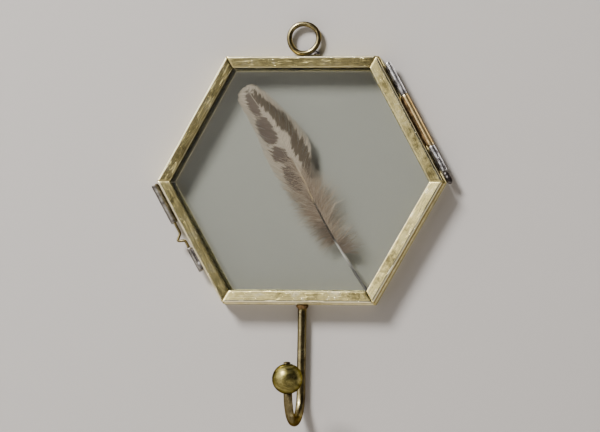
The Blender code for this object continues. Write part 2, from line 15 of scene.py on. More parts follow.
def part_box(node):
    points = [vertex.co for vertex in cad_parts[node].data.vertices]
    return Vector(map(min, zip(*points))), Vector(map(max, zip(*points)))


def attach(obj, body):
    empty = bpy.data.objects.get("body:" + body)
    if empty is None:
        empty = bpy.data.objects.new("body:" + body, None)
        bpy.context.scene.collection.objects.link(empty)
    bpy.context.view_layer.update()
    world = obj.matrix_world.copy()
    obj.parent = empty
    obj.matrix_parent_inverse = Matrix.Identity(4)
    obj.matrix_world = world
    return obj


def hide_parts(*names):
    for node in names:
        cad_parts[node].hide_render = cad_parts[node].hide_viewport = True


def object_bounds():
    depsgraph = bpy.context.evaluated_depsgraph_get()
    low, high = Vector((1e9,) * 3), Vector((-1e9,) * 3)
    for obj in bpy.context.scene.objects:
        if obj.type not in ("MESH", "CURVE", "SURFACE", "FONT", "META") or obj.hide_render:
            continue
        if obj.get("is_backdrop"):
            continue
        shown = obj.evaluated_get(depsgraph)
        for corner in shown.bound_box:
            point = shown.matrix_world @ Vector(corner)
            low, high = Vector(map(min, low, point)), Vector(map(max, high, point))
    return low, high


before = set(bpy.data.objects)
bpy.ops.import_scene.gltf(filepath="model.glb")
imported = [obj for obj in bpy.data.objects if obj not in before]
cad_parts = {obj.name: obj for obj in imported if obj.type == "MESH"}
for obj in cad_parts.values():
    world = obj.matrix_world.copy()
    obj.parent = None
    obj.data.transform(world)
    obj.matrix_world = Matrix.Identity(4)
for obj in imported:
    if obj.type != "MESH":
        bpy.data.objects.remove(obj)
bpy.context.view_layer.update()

LOG = logging.getLogger("keepsake_frame")
MM = 0.001
Colour = tuple[float, float, float]
Place = tuple[float, float, float]
Outline = list[tuple[float, float]]
Labels = tuple[tuple[str, str], ...]
Socket = bpy.types.NodeSocket


class Half(Enum):
    """The two halves of the frame, each named by its CAD nodes' first word."""

    BACK = "back"
    DOOR = "door"


class Body(Enum):
    """The bodies that pieces ride on."""

    BACK = "back_frame"
    DOOR = "door"
    BOLT = "latch_pin"


class Finish(Protocol):
    """What a piece needs of its finish."""

    name: str
    slot: str

    def material(self) -> bpy.types.Material:
        """Build the finish's material, or return it if it is already there."""


# ---------------------------------------------------------------- shader graphs


@dataclass
class Graph:
    """A thin hand for laying out shader nodes.

    Attributes:
        tree: The node tree that is being filled.
    """

    tree: bpy.types.NodeTree

    def node(self, kind: str, **settings: object) -> bpy.types.Node:
        """Add a node and set its properties.

        Args:
            kind: Blender's name for the node type.
            **settings: Properties of the node, by name.

        Returns:
            The new node.
        """
        made = self.tree.nodes.new(kind)
        for name, value in settings.items():
            setattr(made, name, value)
        return made

    def join(self, source: Socket, target: Socket) -> None:
        """Link an output to an input."""
        self.tree.links.new(source, target)

    def put(self, node: bpy.types.Node, name: str, value: object) -> None:
        """Feed an input from a socket, or set it to a plain value.

        Args:
            node: The node that owns the input.
            name: The input's name.
            value: A socket, number, or colour.
        """
        target = node.inputs[name]
        if isinstance(value, Socket):
            self.join(value, target)
        elif isinstance(value, tuple) and len(value) == 3 and target.type == "RGBA":
            target.default_value = (*value, 1.0)
        else:
            target.default_value = value

    def maths(self, operation: str, first: object, second: object = 0.0, clamp: bool = False) -> Socket:
        """A Math node.

        Args:
            operation: The Math node's operation.
            first: Its first input.
            second: Its second input.
            clamp: Whether to keep the result within 0 and 1.

        Returns:
            The node's output.
        """
        made = self.node("ShaderNodeMath", operation=operation, use_clamp=clamp)
        for slot, value in enumerate((first, second)):
            if isinstance(value, Socket):
                self.join(value, made.inputs[slot])
            else:
                made.inputs[slot].default_value = value
        return made.outputs[0]

    def span(
        self, value: object, low: float, high: float, to_low: float = 0.0, to_high: float = 1.0
    ) -> Socket:
        """Map one span of values to another, smoothly and clamped.

        Args:
            value: The value to map.
            low: Where the first span starts.
            high: Where the first span ends.
            to_low: The result at low.
            to_high: The result at high.

        Returns:
            The mapped value.
        """
        made = self.node("ShaderNodeMapRange", interpolation_type="SMOOTHSTEP")
        self.put(made, "Value", value)
        for name, number in (("From Min", low), ("From Max", high), ("To Min", to_low), ("To Max", to_high)):
            made.inputs[name].default_value = number
        return made.outputs["Result"]

    def blend(self, share: object, first: object, second: object, mode: str = "MIX") -> Socket:
        """Mix two colours.

        Args:
            share: How much of the second colour.
            first: The first colour.
            second: The second colour.
            mode: The blend mode.

        Returns:
            The mixed colour.
        """
        made = self.node("ShaderNodeMix", data_type="RGBA", blend_type=mode)
        sockets = {"Factor": made.inputs[0], "A": made.inputs[6], "B": made.inputs[7]}
        for name, value in (("Factor", share), ("A", first), ("B", second)):
            if isinstance(value, Socket):
                self.join(value, sockets[name])
            elif name == "Factor":
                sockets[name].default_value = value
            else:
                sockets[name].default_value = (*value, 1.0)
        return made.outputs[2]

    def cloud(self, place: Socket, scale: object, detail: float = 3.0, rough: float = 0.55) -> Socket:
        """A noise texture's value.

        Args:
            place: Where it is read.
            scale: Its scale.
            detail: How many finer layers it has.
            rough: How strong those layers are.

        Returns:
            A value around one half.
        """
        made = self.node("ShaderNodeTexNoise")
        self.put(made, "Vector", place)
        self.put(made, "Scale", scale)
        made.inputs["Detail"].default_value = detail
        made.inputs["Roughness"].default_value = rough
        return made.outputs["Fac"]

    def stretched(self, place: Socket, along: float, around: float) -> Socket:
        """Scale a place unevenly, so that a texture runs along the piece.

        Args:
            place: The place to scale.
            along: The scale along the piece.
            around: The scale across it.

        Returns:
            The scaled place.
        """
        made = self.node("ShaderNodeMapping")
        self.put(made, "Vector", place)
        made.inputs["Scale"].default_value = (along, around, 1.0)
        return made.outputs["Vector"]


class Effects:
    """Shader groups that several finishes share. Each is built once."""

    _made: dict[str, bpy.types.NodeTree] = {}

    @classmethod
    def _start(cls, name: str, inputs: Labels, outputs: Labels) -> Graph:
        """Open a new group with its sockets.

        Args:
            name: The group's name.
            inputs: Each input's name and socket type.
            outputs: Each output's name and socket type.

        Returns:
            A graph on the new group.
        """
        tree = bpy.data.node_groups.new(name, "ShaderNodeTree")
        for label, kind in inputs:
            tree.interface.new_socket(name=label, in_out="INPUT", socket_type=kind)
        for label, kind in outputs:
            tree.interface.new_socket(name=label, in_out="OUTPUT", socket_type=kind)
        cls._made[name] = tree
        return Graph(tree)

    @classmethod
    def patina(cls) -> bpy.types.NodeTree:
        """Metal that has darkened unevenly and is rubbed bright where it is handled.

        Returns:
            The group, which puts out a colour and a mask of how rubbed the metal is.
        """
        if "patina" in cls._made:
            return cls._made["patina"]
        colour = "NodeSocketColor"
        number = "NodeSocketFloat"
        g = cls._start(
            "patina",
            (
                ("Place", "NodeSocketVector"),
                ("Bright", colour),
                ("Aged", colour),
                ("Dark", colour),
                ("Wear", number),
                ("Cloud Scale", number),
                ("Darkening", number),
            ),
            (("Colour", colour), ("Rubbed", number)),
        )
        given = g.node("NodeGroupInput")
        made = g.node("NodeGroupOutput")
        scale = given.outputs["Cloud Scale"]
        broad = g.cloud(given.outputs["Place"], scale, 4.0, 0.6)
        fine_scale = g.maths("MULTIPLY", scale, 6.0)
        fine = g.cloud(given.outputs["Place"], fine_scale, 5.0, 0.65)
        uneven = g.maths("ADD", g.maths("MULTIPLY", broad, 0.65), g.maths("MULTIPLY", fine, 0.35))
        darkness = g.maths("ADD", uneven, g.maths("SUBTRACT", given.outputs["Darkening"], 0.5))
        dark_mask = g.span(darkness, 0.44, 0.62)
        aged = g.blend(dark_mask, given.outputs["Aged"], given.outputs["Dark"])
        specks = g.maths("MULTIPLY", g.maths("SUBTRACT", fine, 0.5), 1.1)
        rubbed_raw = g.maths("ADD", given.outputs["Wear"], specks)
        light_cloud = g.span(uneven, 0.47, 0.33, 0.0, 0.75)
        rubbed = g.maths("MAXIMUM", g.span(rubbed_raw, 0.25, 0.85), light_cloud, True)
        colour_out = g.blend(rubbed, aged, given.outputs["Bright"])
        g.join(colour_out, made.inputs["Colour"])
        g.join(rubbed, made.inputs["Rubbed"])
        return g.tree

    @classmethod
    def brushing(cls) -> bpy.types.NodeTree:
        """Fine lines along a piece, with some deeper scratches and dents.

        Returns:
            The group, which puts out a height.
        """
        if "brushing" in cls._made:
            return cls._made["brushing"]
        number = "NodeSocketFloat"
        g = cls._start(
            "brushing",
            (("Place", "NodeSocketVector"), ("Lines", number), ("Dents", number)),
            (("Height", number),),
        )
        given = g.node("NodeGroupInput")
        made = g.node("NodeGroupOutput")
        lines = g.cloud(g.stretched(given.outputs["Place"], 90.0, 2600.0), 1.0, 2.0, 0.5)
        deep = g.cloud(g.stretched(given.outputs["Place"], 160.0, 1500.0), 1.0, 1.0, 0.4)
        deep_mask = g.span(deep, 0.62, 0.72)
        dents = g.cloud(given.outputs["Place"], 420.0, 3.0, 0.5)
        pits = g.span(g.cloud(given.outputs["Place"], 2300.0, 2.0, 0.5), 0.66, 0.74)
        total = g.maths("MULTIPLY", lines, given.outputs["Lines"])
        total = g.maths("SUBTRACT", total, g.maths("MULTIPLY", deep_mask, given.outputs["Lines"]))
        total = g.maths("ADD", total, g.maths("MULTIPLY", dents, given.outputs["Dents"]))
        total = g.maths("SUBTRACT", total, g.maths("MULTIPLY", pits, given.outputs["Dents"]))
        g.join(total, made.inputs["Height"])
        return g.tree

    @classmethod
    def film(cls) -> bpy.types.NodeTree:
        """A faint film of dust and wiping marks on a smooth surface.

        Returns:
            The group, which puts out a roughness.
        """
        if "film" in cls._made:
            return cls._made["film"]
        number = "NodeSocketFloat"
        g = cls._start(
            "film",
            (("Place", "NodeSocketVector"), ("Clean", number), ("Smeared", number)),
            (("Roughness", number),),
        )
        given = g.node("NodeGroupInput")
        made = g.node("NodeGroupOutput")
        wipes = g.cloud(g.stretched(given.outputs["Place"], 40.0, 130.0), 1.0, 4.0, 0.6)
        mask = g.span(wipes, 0.50, 0.75)
        reach = g.maths("SUBTRACT", given.outputs["Smeared"], given.outputs["Clean"])
        rough = g.maths("ADD", given.outputs["Clean"], g.maths("MULTIPLY", mask, reach))
        g.join(rough, made.inputs["Roughness"])
        return g.tree


def use_group(graph: Graph, tree: bpy.types.NodeTree, **values: object) -> bpy.types.Node:
    """Place a shader group in a material.

    Args:
        graph: The material's graph.
        tree: The group.
        **values: Its inputs, with underscores for spaces.

    Returns:
        The group node.
    """
    made = graph.node("ShaderNodeGroup", node_tree=tree)
    for name, value in values.items():
        graph.put(made, name.replace("_", " "), value)
    return made


def new_material(name: str) -> tuple[bpy.types.Material, Graph, bpy.types.Node]:
    """Start a material.

    Args:
        name: The material's name.

    Returns:
        The material, its graph, and its Principled BSDF.
    """
    material = bpy.data.materials.new(name)
    material.use_nodes = True
    shader = material.node_tree.nodes["Principled BSDF"]
    return material, Graph(material.node_tree), shader


def attribute(graph: Graph, name: str, output: str = "Fac") -> Socket:
    """An output of the mesh attribute of that name."""
    made = graph.node("ShaderNodeAttribute", attribute_name=name)
    return made.outputs[output]


# ---------------------------------------------------------------- finishes


@dataclass(frozen=True)
class MetalFinish:
    """Brass or solder with patina, rubbed edges and fine lines.

    Attributes:
        name: The finish's name.
        slot: The record's material slot, not used here.
        bright: Colour where the metal is rubbed.
        aged: Its usual colour.
        dark: Colour of the darkest patina.
        cloud_scale: Scale of the patina's clouds.
        darkening: How much of the metal is dark, around one half.
        wear: How much the edges are rubbed.
        rough_rubbed: Roughness where rubbed.
        rough_aged: Roughness elsewhere.
        lines: Strength of the lines along the piece.
        dents: Strength of the dents.
        relief: Depth of the bump in metres.
        rim: The tint of what it reflects at a glancing angle.
    """

    name: str
    slot: str
    bright: Colour
    aged: Colour
    dark: Colour
    cloud_scale: float = 160.0
    darkening: float = 0.5
    wear: float = 1.0
    rough_rubbed: float = 0.22
    rough_aged: float = 0.38
    lines: float = 0.5
    dents: float = 0.5
    relief: float = 0.06 * MM
    rim: Colour = (0.45, 0.38, 0.22)

    def material(self) -> bpy.types.Material:
        """Build the finish's material, or return it if it is already there."""
        if self.name in bpy.data.materials:
            return bpy.data.materials[self.name]
        material, g, shader = new_material(self.name)
        place = attribute(g, "lay", "Vector")
        wear = g.maths("MULTIPLY", attribute(g, "wear"), self.wear)
        patina = use_group(
            g,
            Effects.patina(),
            Place=place,
            Bright=self.bright,
            Aged=self.aged,
            Dark=self.dark,
            Wear=wear,
            Cloud_Scale=self.cloud_scale,
            Darkening=self.darkening,
        )
        g.join(patina.outputs["Colour"], shader.inputs["Base Color"])
        rough = g.span(patina.outputs["Rubbed"], 0.0, 1.0, self.rough_aged, self.rough_rubbed)
        g.join(rough, shader.inputs["Roughness"])
        shader.inputs["Metallic"].default_value = 1.0
        shader.inputs["Specular Tint"].default_value = (*self.rim, 1.0)
        brushing = use_group(g, Effects.brushing(), Place=place, Lines=self.lines, Dents=self.dents)
        bump = g.node("ShaderNodeBump")
        bump.inputs["Strength"].default_value = 0.6
        bump.inputs["Distance"].default_value = self.relief
        g.join(brushing.outputs["Height"], bump.inputs["Height"])
        g.join(bump.outputs["Normal"], shader.inputs["Normal"])
        return material


@dataclass(frozen=True)
class GlassFinish:
    """A clear pane with a faint film on it.

    Attributes:
        name: The finish's name.
        slot: The record's material slot, not used here.
        tint: The glass's colour.
        shade: What a shadow through one face keeps of the light.
    """

    name: str = "pane_glass"
    slot: str = "glass"
    tint: Colour = (0.885, 0.900, 0.882)
    shade: Colour = (0.885, 0.895, 0.882)

    def material(self) -> bpy.types.Material:
        """Build the finish's material, or return it if it is already there."""
        if self.name in bpy.data.materials:
            return bpy.data.materials[self.name]
        material, g, shader = new_material(self.name)
        shader.inputs["Base Color"].default_value = (*self.tint, 1.0)
        shader.inputs["Metallic"].default_value = 0.0
        shader.inputs["Transmission Weight"].default_value = 1.0
        shader.inputs["IOR"].default_value = 1.45
        place = g.node("ShaderNodeTexCoord").outputs["Object"]
        film = use_group(g, Effects.film(), Place=place, Clean=0.0, Smeared=0.03)
        g.join(film.outputs["Roughness"], shader.inputs["Roughness"])
        clear = g.node("ShaderNodeBsdfTransparent")
        clear.inputs["Color"].default_value = (*self.shade, 1.0)
        rays = g.node("ShaderNodeLightPath")
        unseen = g.maths("MAXIMUM", rays.outputs["Is Shadow Ray"], rays.outputs["Is Diffuse Ray"])
        mixed = g.node("ShaderNodeMixShader")
        g.join(unseen, mixed.inputs[0])
        g.join(shader.outputs["BSDF"], mixed.inputs[1])
        g.join(clear.outputs["BSDF"], mixed.inputs[2])
        g.join(mixed.outputs["Shader"], g.tree.nodes["Material Output"].inputs["Surface"])
        return material


@dataclass(frozen=True)
class BarbFinish:
    """Feather barbs: a pale ground with brown bars.

    Attributes:
        name: The finish's name.
        slot: The record's material slot, not used here.
        pale: The ground's colour.
        brown: The bars' colour on the lit side.
        shaded_brown: The bars' colour on the other side, a painted shaded copy.
        thin: How much light passes through.
    """

    name: str
    slot: str
    pale: Colour
    brown: Colour
    shaded_brown: Colour
    thin: float = 0.25

    def material(self) -> bpy.types.Material:
        """Build the finish's material, or return it if it is already there."""
        if self.name in bpy.data.materials:
            return bpy.data.materials[self.name]
        material, g, shader = new_material(self.name)
        place = attribute(g, "lay", "Vector")
        streak = g.cloud(g.stretched(place, 700.0, 5200.0), 1.0, 3.0, 0.6)
        mottle = g.cloud(place, 900.0, 4.0, 0.6)
        ground = g.blend(g.span(streak, 0.3, 0.7, 0.0, 0.45), self.pale, tuple(c * 0.62 for c in self.pale))
        # Painted light: the bars take a lit copy and a painted shaded copy of their colour, by side.
        bars = g.blend(attribute(g, "side"), self.brown, self.shaded_brown)
        bars = g.blend(g.span(streak, 0.35, 0.7, 0.0, 0.5), bars, tuple(c * 1.7 for c in self.brown))
        ragged = g.maths("MULTIPLY", g.maths("SUBTRACT", mottle, 0.5), 0.35)
        edge = g.maths("ADD", attribute(g, "bar"), ragged)
        plain = g.blend(g.span(edge, 0.34, 0.62), ground, bars)
        shade = g.blend(attribute(g, "tone"), (0.66, 0.64, 0.62), (1.0, 1.0, 1.0))
        colour = g.blend(1.0, plain, shade, "MULTIPLY")
        g.join(colour, shader.inputs["Base Color"])
        g.join(g.span(streak, 0.2, 0.8, 0.62, 0.85), shader.inputs["Roughness"])
        shader.inputs["Sheen Weight"].default_value = 0.15
        bump = g.node("ShaderNodeBump")
        bump.inputs["Strength"].default_value = 0.5
        bump.inputs["Distance"].default_value = 0.1 * MM
        g.join(streak, bump.inputs["Height"])
        g.join(bump.outputs["Normal"], shader.inputs["Normal"])
        through = g.node("ShaderNodeBsdfTranslucent")
        g.join(colour, through.inputs["Color"])
        mixed = g.node("ShaderNodeMixShader")
        mixed.inputs[0].default_value = self.thin
        g.join(shader.outputs["BSDF"], mixed.inputs[1])
        g.join(through.outputs["BSDF"], mixed.inputs[2])
        g.join(mixed.outputs["Shader"], g.tree.nodes["Material Output"].inputs["Surface"])
        return material


@dataclass(frozen=True)
class ShaftFinish:
    """The feather's shaft: horn that is clear at the quill, with a painted shadow at its root end, painted
    shade in the middle and a golden painted highlight towards the tip.

    Attributes:
        name: The finish's name.
        slot: The record's material slot, not used here.
        quill: Colour of the bare quill.
        dark: Colour among the down, a painted shade on the shaft.
        gold_highlight: Colour at the foot of the vane, a painted highlight.
        pale: Colour among the vane.
    """

    name: str = "feather_shaft"
    slot: str = "quill"
    quill: Colour = (0.62, 0.58, 0.56)
    dark: Colour = (0.055, 0.040, 0.030)
    gold_highlight: Colour = (0.62, 0.47, 0.27)
    pale: Colour = (0.66, 0.57, 0.45)

    def material(self) -> bpy.types.Material:
        """Build the finish's material, or return it if it is already there."""
        if self.name in bpy.data.materials:
            return bpy.data.materials[self.name]
        material, g, shader = new_material(self.name)
        share = attribute(g, "share")
        place = attribute(g, "lay", "Vector")
        lines = g.cloud(g.stretched(place, 120.0, 3000.0), 1.0, 2.0, 0.5)
        # Painted shadow: the quill is darkened to a quarter of its colour towards its root end.
        root = g.blend(g.span(share, 0.10, 0.19), tuple(c * 0.24 for c in self.quill), self.quill)
        # Painted shade: the shaft is painted dark among the down.
        low = g.blend(g.span(share, 0.235, 0.275), root, self.dark)
        # Painted highlight: the shaft turns golden at the foot of the vane.
        middle = g.blend(g.span(share, 0.44, 0.48), low, self.gold_highlight)
        high = g.blend(g.span(share, 0.55, 0.62), middle, self.pale)
        colour = g.blend(g.span(lines, 0.35, 0.7, 0.0, 0.4), high, (0.12, 0.09, 0.07), "MULTIPLY")
        g.join(colour, shader.inputs["Base Color"])
        g.join(g.span(lines, 0.3, 0.7, 0.30, 0.5), shader.inputs["Roughness"])
        bump = g.node("ShaderNodeBump")
        bump.inputs["Strength"].default_value = 0.4
        bump.inputs["Distance"].default_value = 0.05 * MM
        g.join(lines, bump.inputs["Height"])
        g.join(bump.outputs["Normal"], shader.inputs["Normal"])
        return material


RAIL_BRASS = MetalFinish(
    "rail_brass", "brass",
    bright=(0.97, 0.88, 0.58), aged=(0.60, 0.505, 0.22), dark=(0.20, 0.16, 0.06), rim=(0.70, 0.60, 0.34),
    cloud_scale=95.0, darkening=0.47, rough_rubbed=0.16, rough_aged=0.25,
    lines=0.7, dents=0.6, relief=0.08 * MM,
)
WIRE_BRASS = MetalFinish(
    "wire_brass", "dark_brass",
    bright=(0.50, 0.43, 0.23), aged=(0.21, 0.17, 0.08), dark=(0.09, 0.07, 0.035), rim=(0.30, 0.24, 0.12),
    cloud_scale=190.0, darkening=0.52, rough_rubbed=0.18, rough_aged=0.29,
    lines=0.4, dents=0.7, relief=0.06 * MM,
)
TUBE_BRASS = MetalFinish(
    "tube_brass", "warm_brass",
    bright=(0.95, 0.80, 0.48), aged=(0.78, 0.57, 0.27), dark=(0.26, 0.15, 0.06), rim=(0.40, 0.24, 0.10),
    cloud_scale=130.0, darkening=0.42, rough_rubbed=0.30, rough_aged=0.38,
    lines=0.6, dents=0.25, relief=0.04 * MM,
)
TINNED = MetalFinish(
    "tinned_tube", "tinned",
    bright=(0.99, 0.97, 0.96), aged=(0.80, 0.78, 0.78), dark=(0.14, 0.12, 0.12), rim=(0.45, 0.42, 0.42),
    cloud_scale=340.0, darkening=0.50, wear=0.6, rough_rubbed=0.26, rough_aged=0.38,
    lines=0.3, dents=1.4, relief=0.14 * MM,
)
SOLDER = MetalFinish(
    "soft_solder", "solder",
    bright=(0.48, 0.46, 0.44), aged=(0.17, 0.155, 0.15), dark=(0.045, 0.038, 0.035), rim=(0.35, 0.33, 0.32),
    cloud_scale=420.0, darkening=0.55, wear=0.5, rough_rubbed=0.24, rough_aged=0.42,
    lines=0.0, dents=1.2, relief=0.12 * MM,
)
DULL_TIN = MetalFinish(
    "dull_tin", "tinned",
    bright=(0.58, 0.54, 0.47), aged=(0.26, 0.24, 0.21), dark=(0.075, 0.065, 0.062), rim=(0.30, 0.27, 0.24),
    cloud_scale=300.0, darkening=0.50, wear=0.6, rough_rubbed=0.24, rough_aged=0.36,
    lines=0.4, dents=1.0, relief=0.10 * MM,
)
# Solder painted dark brown to stand for shade beside the door's knuckle and under the hook's stem: painted
# shade on real solder.
SHADE_DARK_SOLDER = MetalFinish(
    "browned_solder", "solder",
    bright=(0.55, 0.38, 0.18), aged=(0.22, 0.135, 0.06), dark=(0.06, 0.04, 0.02), rim=(0.30, 0.20, 0.10),
    cloud_scale=260.0, darkening=0.50, wear=0.5, rough_rubbed=0.24, rough_aged=0.40,
    lines=0.0, dents=0.7, relief=0.08 * MM,
)
BALL_BRASS = MetalFinish(
    "olive_brass", "ball_brass",
    bright=(0.58, 0.50, 0.22), aged=(0.27, 0.23, 0.075), dark=(0.09, 0.075, 0.025), rim=(0.14, 0.12, 0.04),
    cloud_scale=150.0, darkening=0.52, rough_rubbed=0.22, rough_aged=0.31,
    lines=0.15, dents=0.8, relief=0.10 * MM,
)
PANE = GlassFinish()
VANE = BarbFinish(
    "feather_vane", "vane",
    pale=(0.78, 0.67, 0.545), brown=(0.130, 0.095, 0.060), shaded_brown=(0.215, 0.160, 0.132),
)
DOWN = BarbFinish(
    "feather_down", "down",
    pale=(0.82, 0.67, 0.53), brown=(0.29, 0.215, 0.16), shaded_brown=(0.28, 0.225, 0.19),
    thin=0.4,
)
SHAFT = ShaftFinish()


# ---------------------------------------------------------------- meshes


@dataclass
class Skin:
    """Rows of points joined into one body, with values carried at its points.

    Attributes:
        rows: The rows, each a closed ring, all of the same length.
        looped: Whether the last row joins the first.
        values: Numbers at the points, by attribute name.
        lay: The place of each point along and around the piece, in metres.
    """

    rows: list[list[Vector]]
    looped: bool = False
    values: dict[str, list[float]] = field(default_factory=dict)
    lay: list[Vector] = field(default_factory=list)

    def faces(self) -> list[tuple[int, ...]]:
        """The body's faces as point numbers.

        Returns:
            Quads between the rows, and the end faces.
        """
        count = len(self.rows[0])
        last = len(self.rows) if self.looped else len(self.rows) - 1
        found: list[tuple[int, ...]] = []
        for row in range(last):
            here = row * count
            there = ((row + 1) % len(self.rows)) * count
            for k in range(count):
                n = (k + 1) % count
                found.append((here + k, here + n, there + n, there + k))
        if not self.looped:
            end = (len(self.rows) - 1) * count
            found.append(tuple(reversed(range(count))))
            found.append(tuple(end + k for k in range(count)))
        return found

    def piece(
        self, name: str, finish: Finish, body: Body, *nodes: str, crease: float = 40.0
    ) -> bpy.types.Object:
        """Make the object, dress it, and let it ride.

        Args:
            name: The piece's name.
            finish: Its finish.
            body: The body that it rides on.
            *nodes: The CAD nodes that it stands for.
            crease: The angle in degrees over which an edge is kept sharp.

        Returns:
            The new object.
        """
        points = [p for row in self.rows for p in row]
        return make_piece(name, points, self.faces(), finish, body, nodes, self.values, self.lay, crease)


def make_piece(
    name: str,
    points: list[Vector],
    faces: list[tuple[int, ...]],
    finish: Finish,
    body: Body,
    nodes: tuple[str, ...],
    values: dict[str, list[float]],
    lay: list[Vector],
    crease: float,
) -> bpy.types.Object:
    """Make one mesh object with its attributes and finish.

    Args:
        name: The piece's name.
        points: Its points.
        faces: Its faces.
        finish: Its finish, which has a slot and a material.
        body: The body that it rides on.
        nodes: The CAD nodes that it stands for.
        values: Numbers at the points, by attribute name.
        lay: The place of each point along and around the piece.
        crease: The angle in degrees over which an edge is kept sharp.

    Returns:
        The new object.
    """
    mesh = bpy.data.meshes.new(name)
    mesh.from_pydata([tuple(p) for p in points], [], faces)
    for label, numbers in values.items():
        made = mesh.attributes.new(label, "FLOAT", "POINT")
        made.data.foreach_set("value", numbers)
    if lay:
        made = mesh.attributes.new("lay", "FLOAT_VECTOR", "POINT")
        made.data.foreach_set("vector", [c for p in lay for c in p])
    face_outwards(mesh)
    mesh.shade_smooth()
    mesh.set_sharp_from_angle(angle=math.radians(crease))
    mesh.materials.append(finish.material())
    made_object = bpy.data.objects.new(name, mesh)
    bpy.context.scene.collection.objects.link(made_object)
    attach(made_object, body.value)
    if nodes:
        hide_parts(*nodes)
    LOG.info("%s: %d faces on %s", name, len(mesh.polygons), body.value)
    return made_object


def face_outwards(mesh: bpy.types.Mesh) -> None:
    """Turn every face of the mesh to point outwards."""
    work = bmesh.new()
    work.from_mesh(mesh)
    bmesh.ops.recalc_face_normals(work, faces=work.faces)
    work.to_mesh(mesh)
    work.free()


def ripple(point: Vector, wavelength: float, seed: float) -> float:
    """A smooth random value between about -1 and 1 at a point.

    Args:
        point: The place.
        wavelength: The size of the ripples.
        seed: A number that picks the pattern.

    Returns:
        The value.
    """
    return noise.noise(point / wavelength + Vector((seed, seed * 0.37, -seed)))


def arc(cx: float, cy: float, radius: float, start: float, end: float, steps: int) -> Outline:
    """Points on an arc, its ends among them.

    Args:
        cx: The centre's first coordinate.
        cy: The centre's second coordinate.
        radius: The arc's radius.
        start: Its first angle in degrees.
        end: Its last angle in degrees.
        steps: How many steps it is drawn in.

    Returns:
        The points.
    """
    found = []
    for k in range(steps + 1):
        angle = math.radians(start + (end - start) * k / steps)
        found.append((cx + radius * math.cos(angle), cy + radius * math.sin(angle)))
    return found


def spread(a: tuple[float, float], b: tuple[float, float], steps: int) -> Outline:
    """Points between two points, leaving out both."""
    return [(a[0] + (b[0] - a[0]) * k / steps, a[1] + (b[1] - a[1]) * k / steps) for k in range(1, steps)]


def round_body(
    stations: Outline,
    frame_of: Matrix,
    sides: int = 40,
    looped: bool = False,
    rough: float = 0.0,
    wavelength: float = 1.5 * MM,
    seed: float = 0.0,
    wear: list[float] | None = None,
) -> Skin:
    """A turned body about a frame's Z axis.

    Args:
        stations: Radius and height of each ring.
        frame_of: The frame that it stands in.
        sides: How many sides it has.
        looped: Whether the stations close on themselves, as a tube's do.
        rough: How uneven its surface is, in metres.
        wavelength: The size of that unevenness.
        seed: A number that picks its pattern.
        wear: How rubbed each ring is.

    Returns:
        The body.
    """
    rows: list[list[Vector]] = []
    lay: list[Vector] = []
    worn: list[float] = []
    travel = 0.0
    for index, (radius, height) in enumerate(stations):
        if index:
            before = stations[index - 1]
            travel += math.hypot(radius - before[0], height - before[1])
        row = []
        for k in range(sides):
            angle = 2.0 * math.pi * k / sides
            out = Vector((math.cos(angle), math.sin(angle), 0.0))
            point = out * radius + Vector((0.0, 0.0, height))
            point += out * rough * ripple(point, wavelength, seed)
            row.append(frame_of @ point)
            lay.append(Vector((height + seed * 0.01, angle * radius, 0.3 * travel)))
            worn.append(wear[index] if wear else 0.2)
        rows.append(row)
    return Skin(rows, looped=looped, values={"wear": worn}, lay=lay)


def tube_stations(radius: float, bore: float, length: float, steps: int = 12) -> tuple[Outline, list[float]]:
    """The rings of a tube with eased ends, and how rubbed each is.

    Args:
        radius: Its outer radius.
        bore: Its inner radius.
        length: Its length.
        steps: How many rings its outside has.

    Returns:
        The stations, and their wear.
    """
    half = length / 2.0
    ease = 0.16 * (radius - bore)
    outside = [(radius, -half + ease + (length - 2.0 * ease) * k / steps) for k in range(steps + 1)]
    low = [(bore, -half), (radius - ease, -half), (radius - 0.3 * ease, -half + 0.3 * ease)]
    high = [(radius - 0.3 * ease, half - 0.3 * ease), (radius - ease, half), (bore, half)]
    stations = low + outside + high
    wear = [0.1, 0.7, 0.9] + [0.9 if k in (0, steps) else 0.15 for k in range(steps + 1)] + [0.9, 0.7, 0.1]
    return stations, wear


# The side the light comes from, on which wires are painted bright as a painted highlight.
WIRE_LIT_SIDE = Vector((-0.4, -0.8, 0.5))
# How worn the solder is.
SOLDER_WEAR = 0.3


@dataclass
class Wire:
    """A round wire bent in one plane.

    Attributes:
        path: The points of its middle line.
        radii: Its radius at each point.
        normal: The direction square to its plane.
        sides: How many sides it has.
        looped: Whether it closes on itself.
        rough: How uneven its surface is, in metres.
        seed: A number that picks its pattern.
    """

    path: list[Vector]
    radii: list[float]
    normal: Vector
    sides: int = 28
    looped: bool = False
    rough: float = 0.02 * MM
    seed: float = 0.0

    def skin(self, share_name: str = "") -> Skin:
        """The wire's body.

        Args:
            share_name: If given, the attribute that holds each point's share of the wire's length.

        Returns:
            The body.
        """
        count = len(self.path)
        rows: list[list[Vector]] = []
        worn: list[float] = []
        lay: list[Vector] = []
        share: list[float] = []
        travel = 0.0
        lit_side = WIRE_LIT_SIDE.normalized()
        for k, point in enumerate(self.path):
            before = self.path[(k - 1) % count] if self.looped or k else point
            after = self.path[(k + 1) % count] if self.looped or k + 1 < count else point
            along = (after - before).normalized()
            side = self.normal.cross(along).normalized()
            if k:
                travel += (point - self.path[k - 1]).length
            row = []
            for n in range(self.sides):
                angle = 2.0 * math.pi * n / self.sides
                out = side * math.cos(angle) + self.normal * math.sin(angle)
                place = point + out * self.radii[k]
                place += out * self.rough * ripple(place, 3.0 * MM, self.seed)
                row.append(place)
                # Painted highlight: points that face the light are marked as rubbed, so they take the bright
                # colour.
                worn.append(max(0.0, out.dot(lit_side)) ** 3 * 0.55)
                lay.append(Vector((travel + self.seed * 0.01, angle * self.radii[k], 0.0)))
                share.append(k / (count - 1))
            rows.append(row)
        values = {"wear": worn}
        if share_name:
            values[share_name] = share
        return Skin(rows, looped=self.looped, values=values, lay=lay)


# ---------------------------------------------------------------- the frame's outline


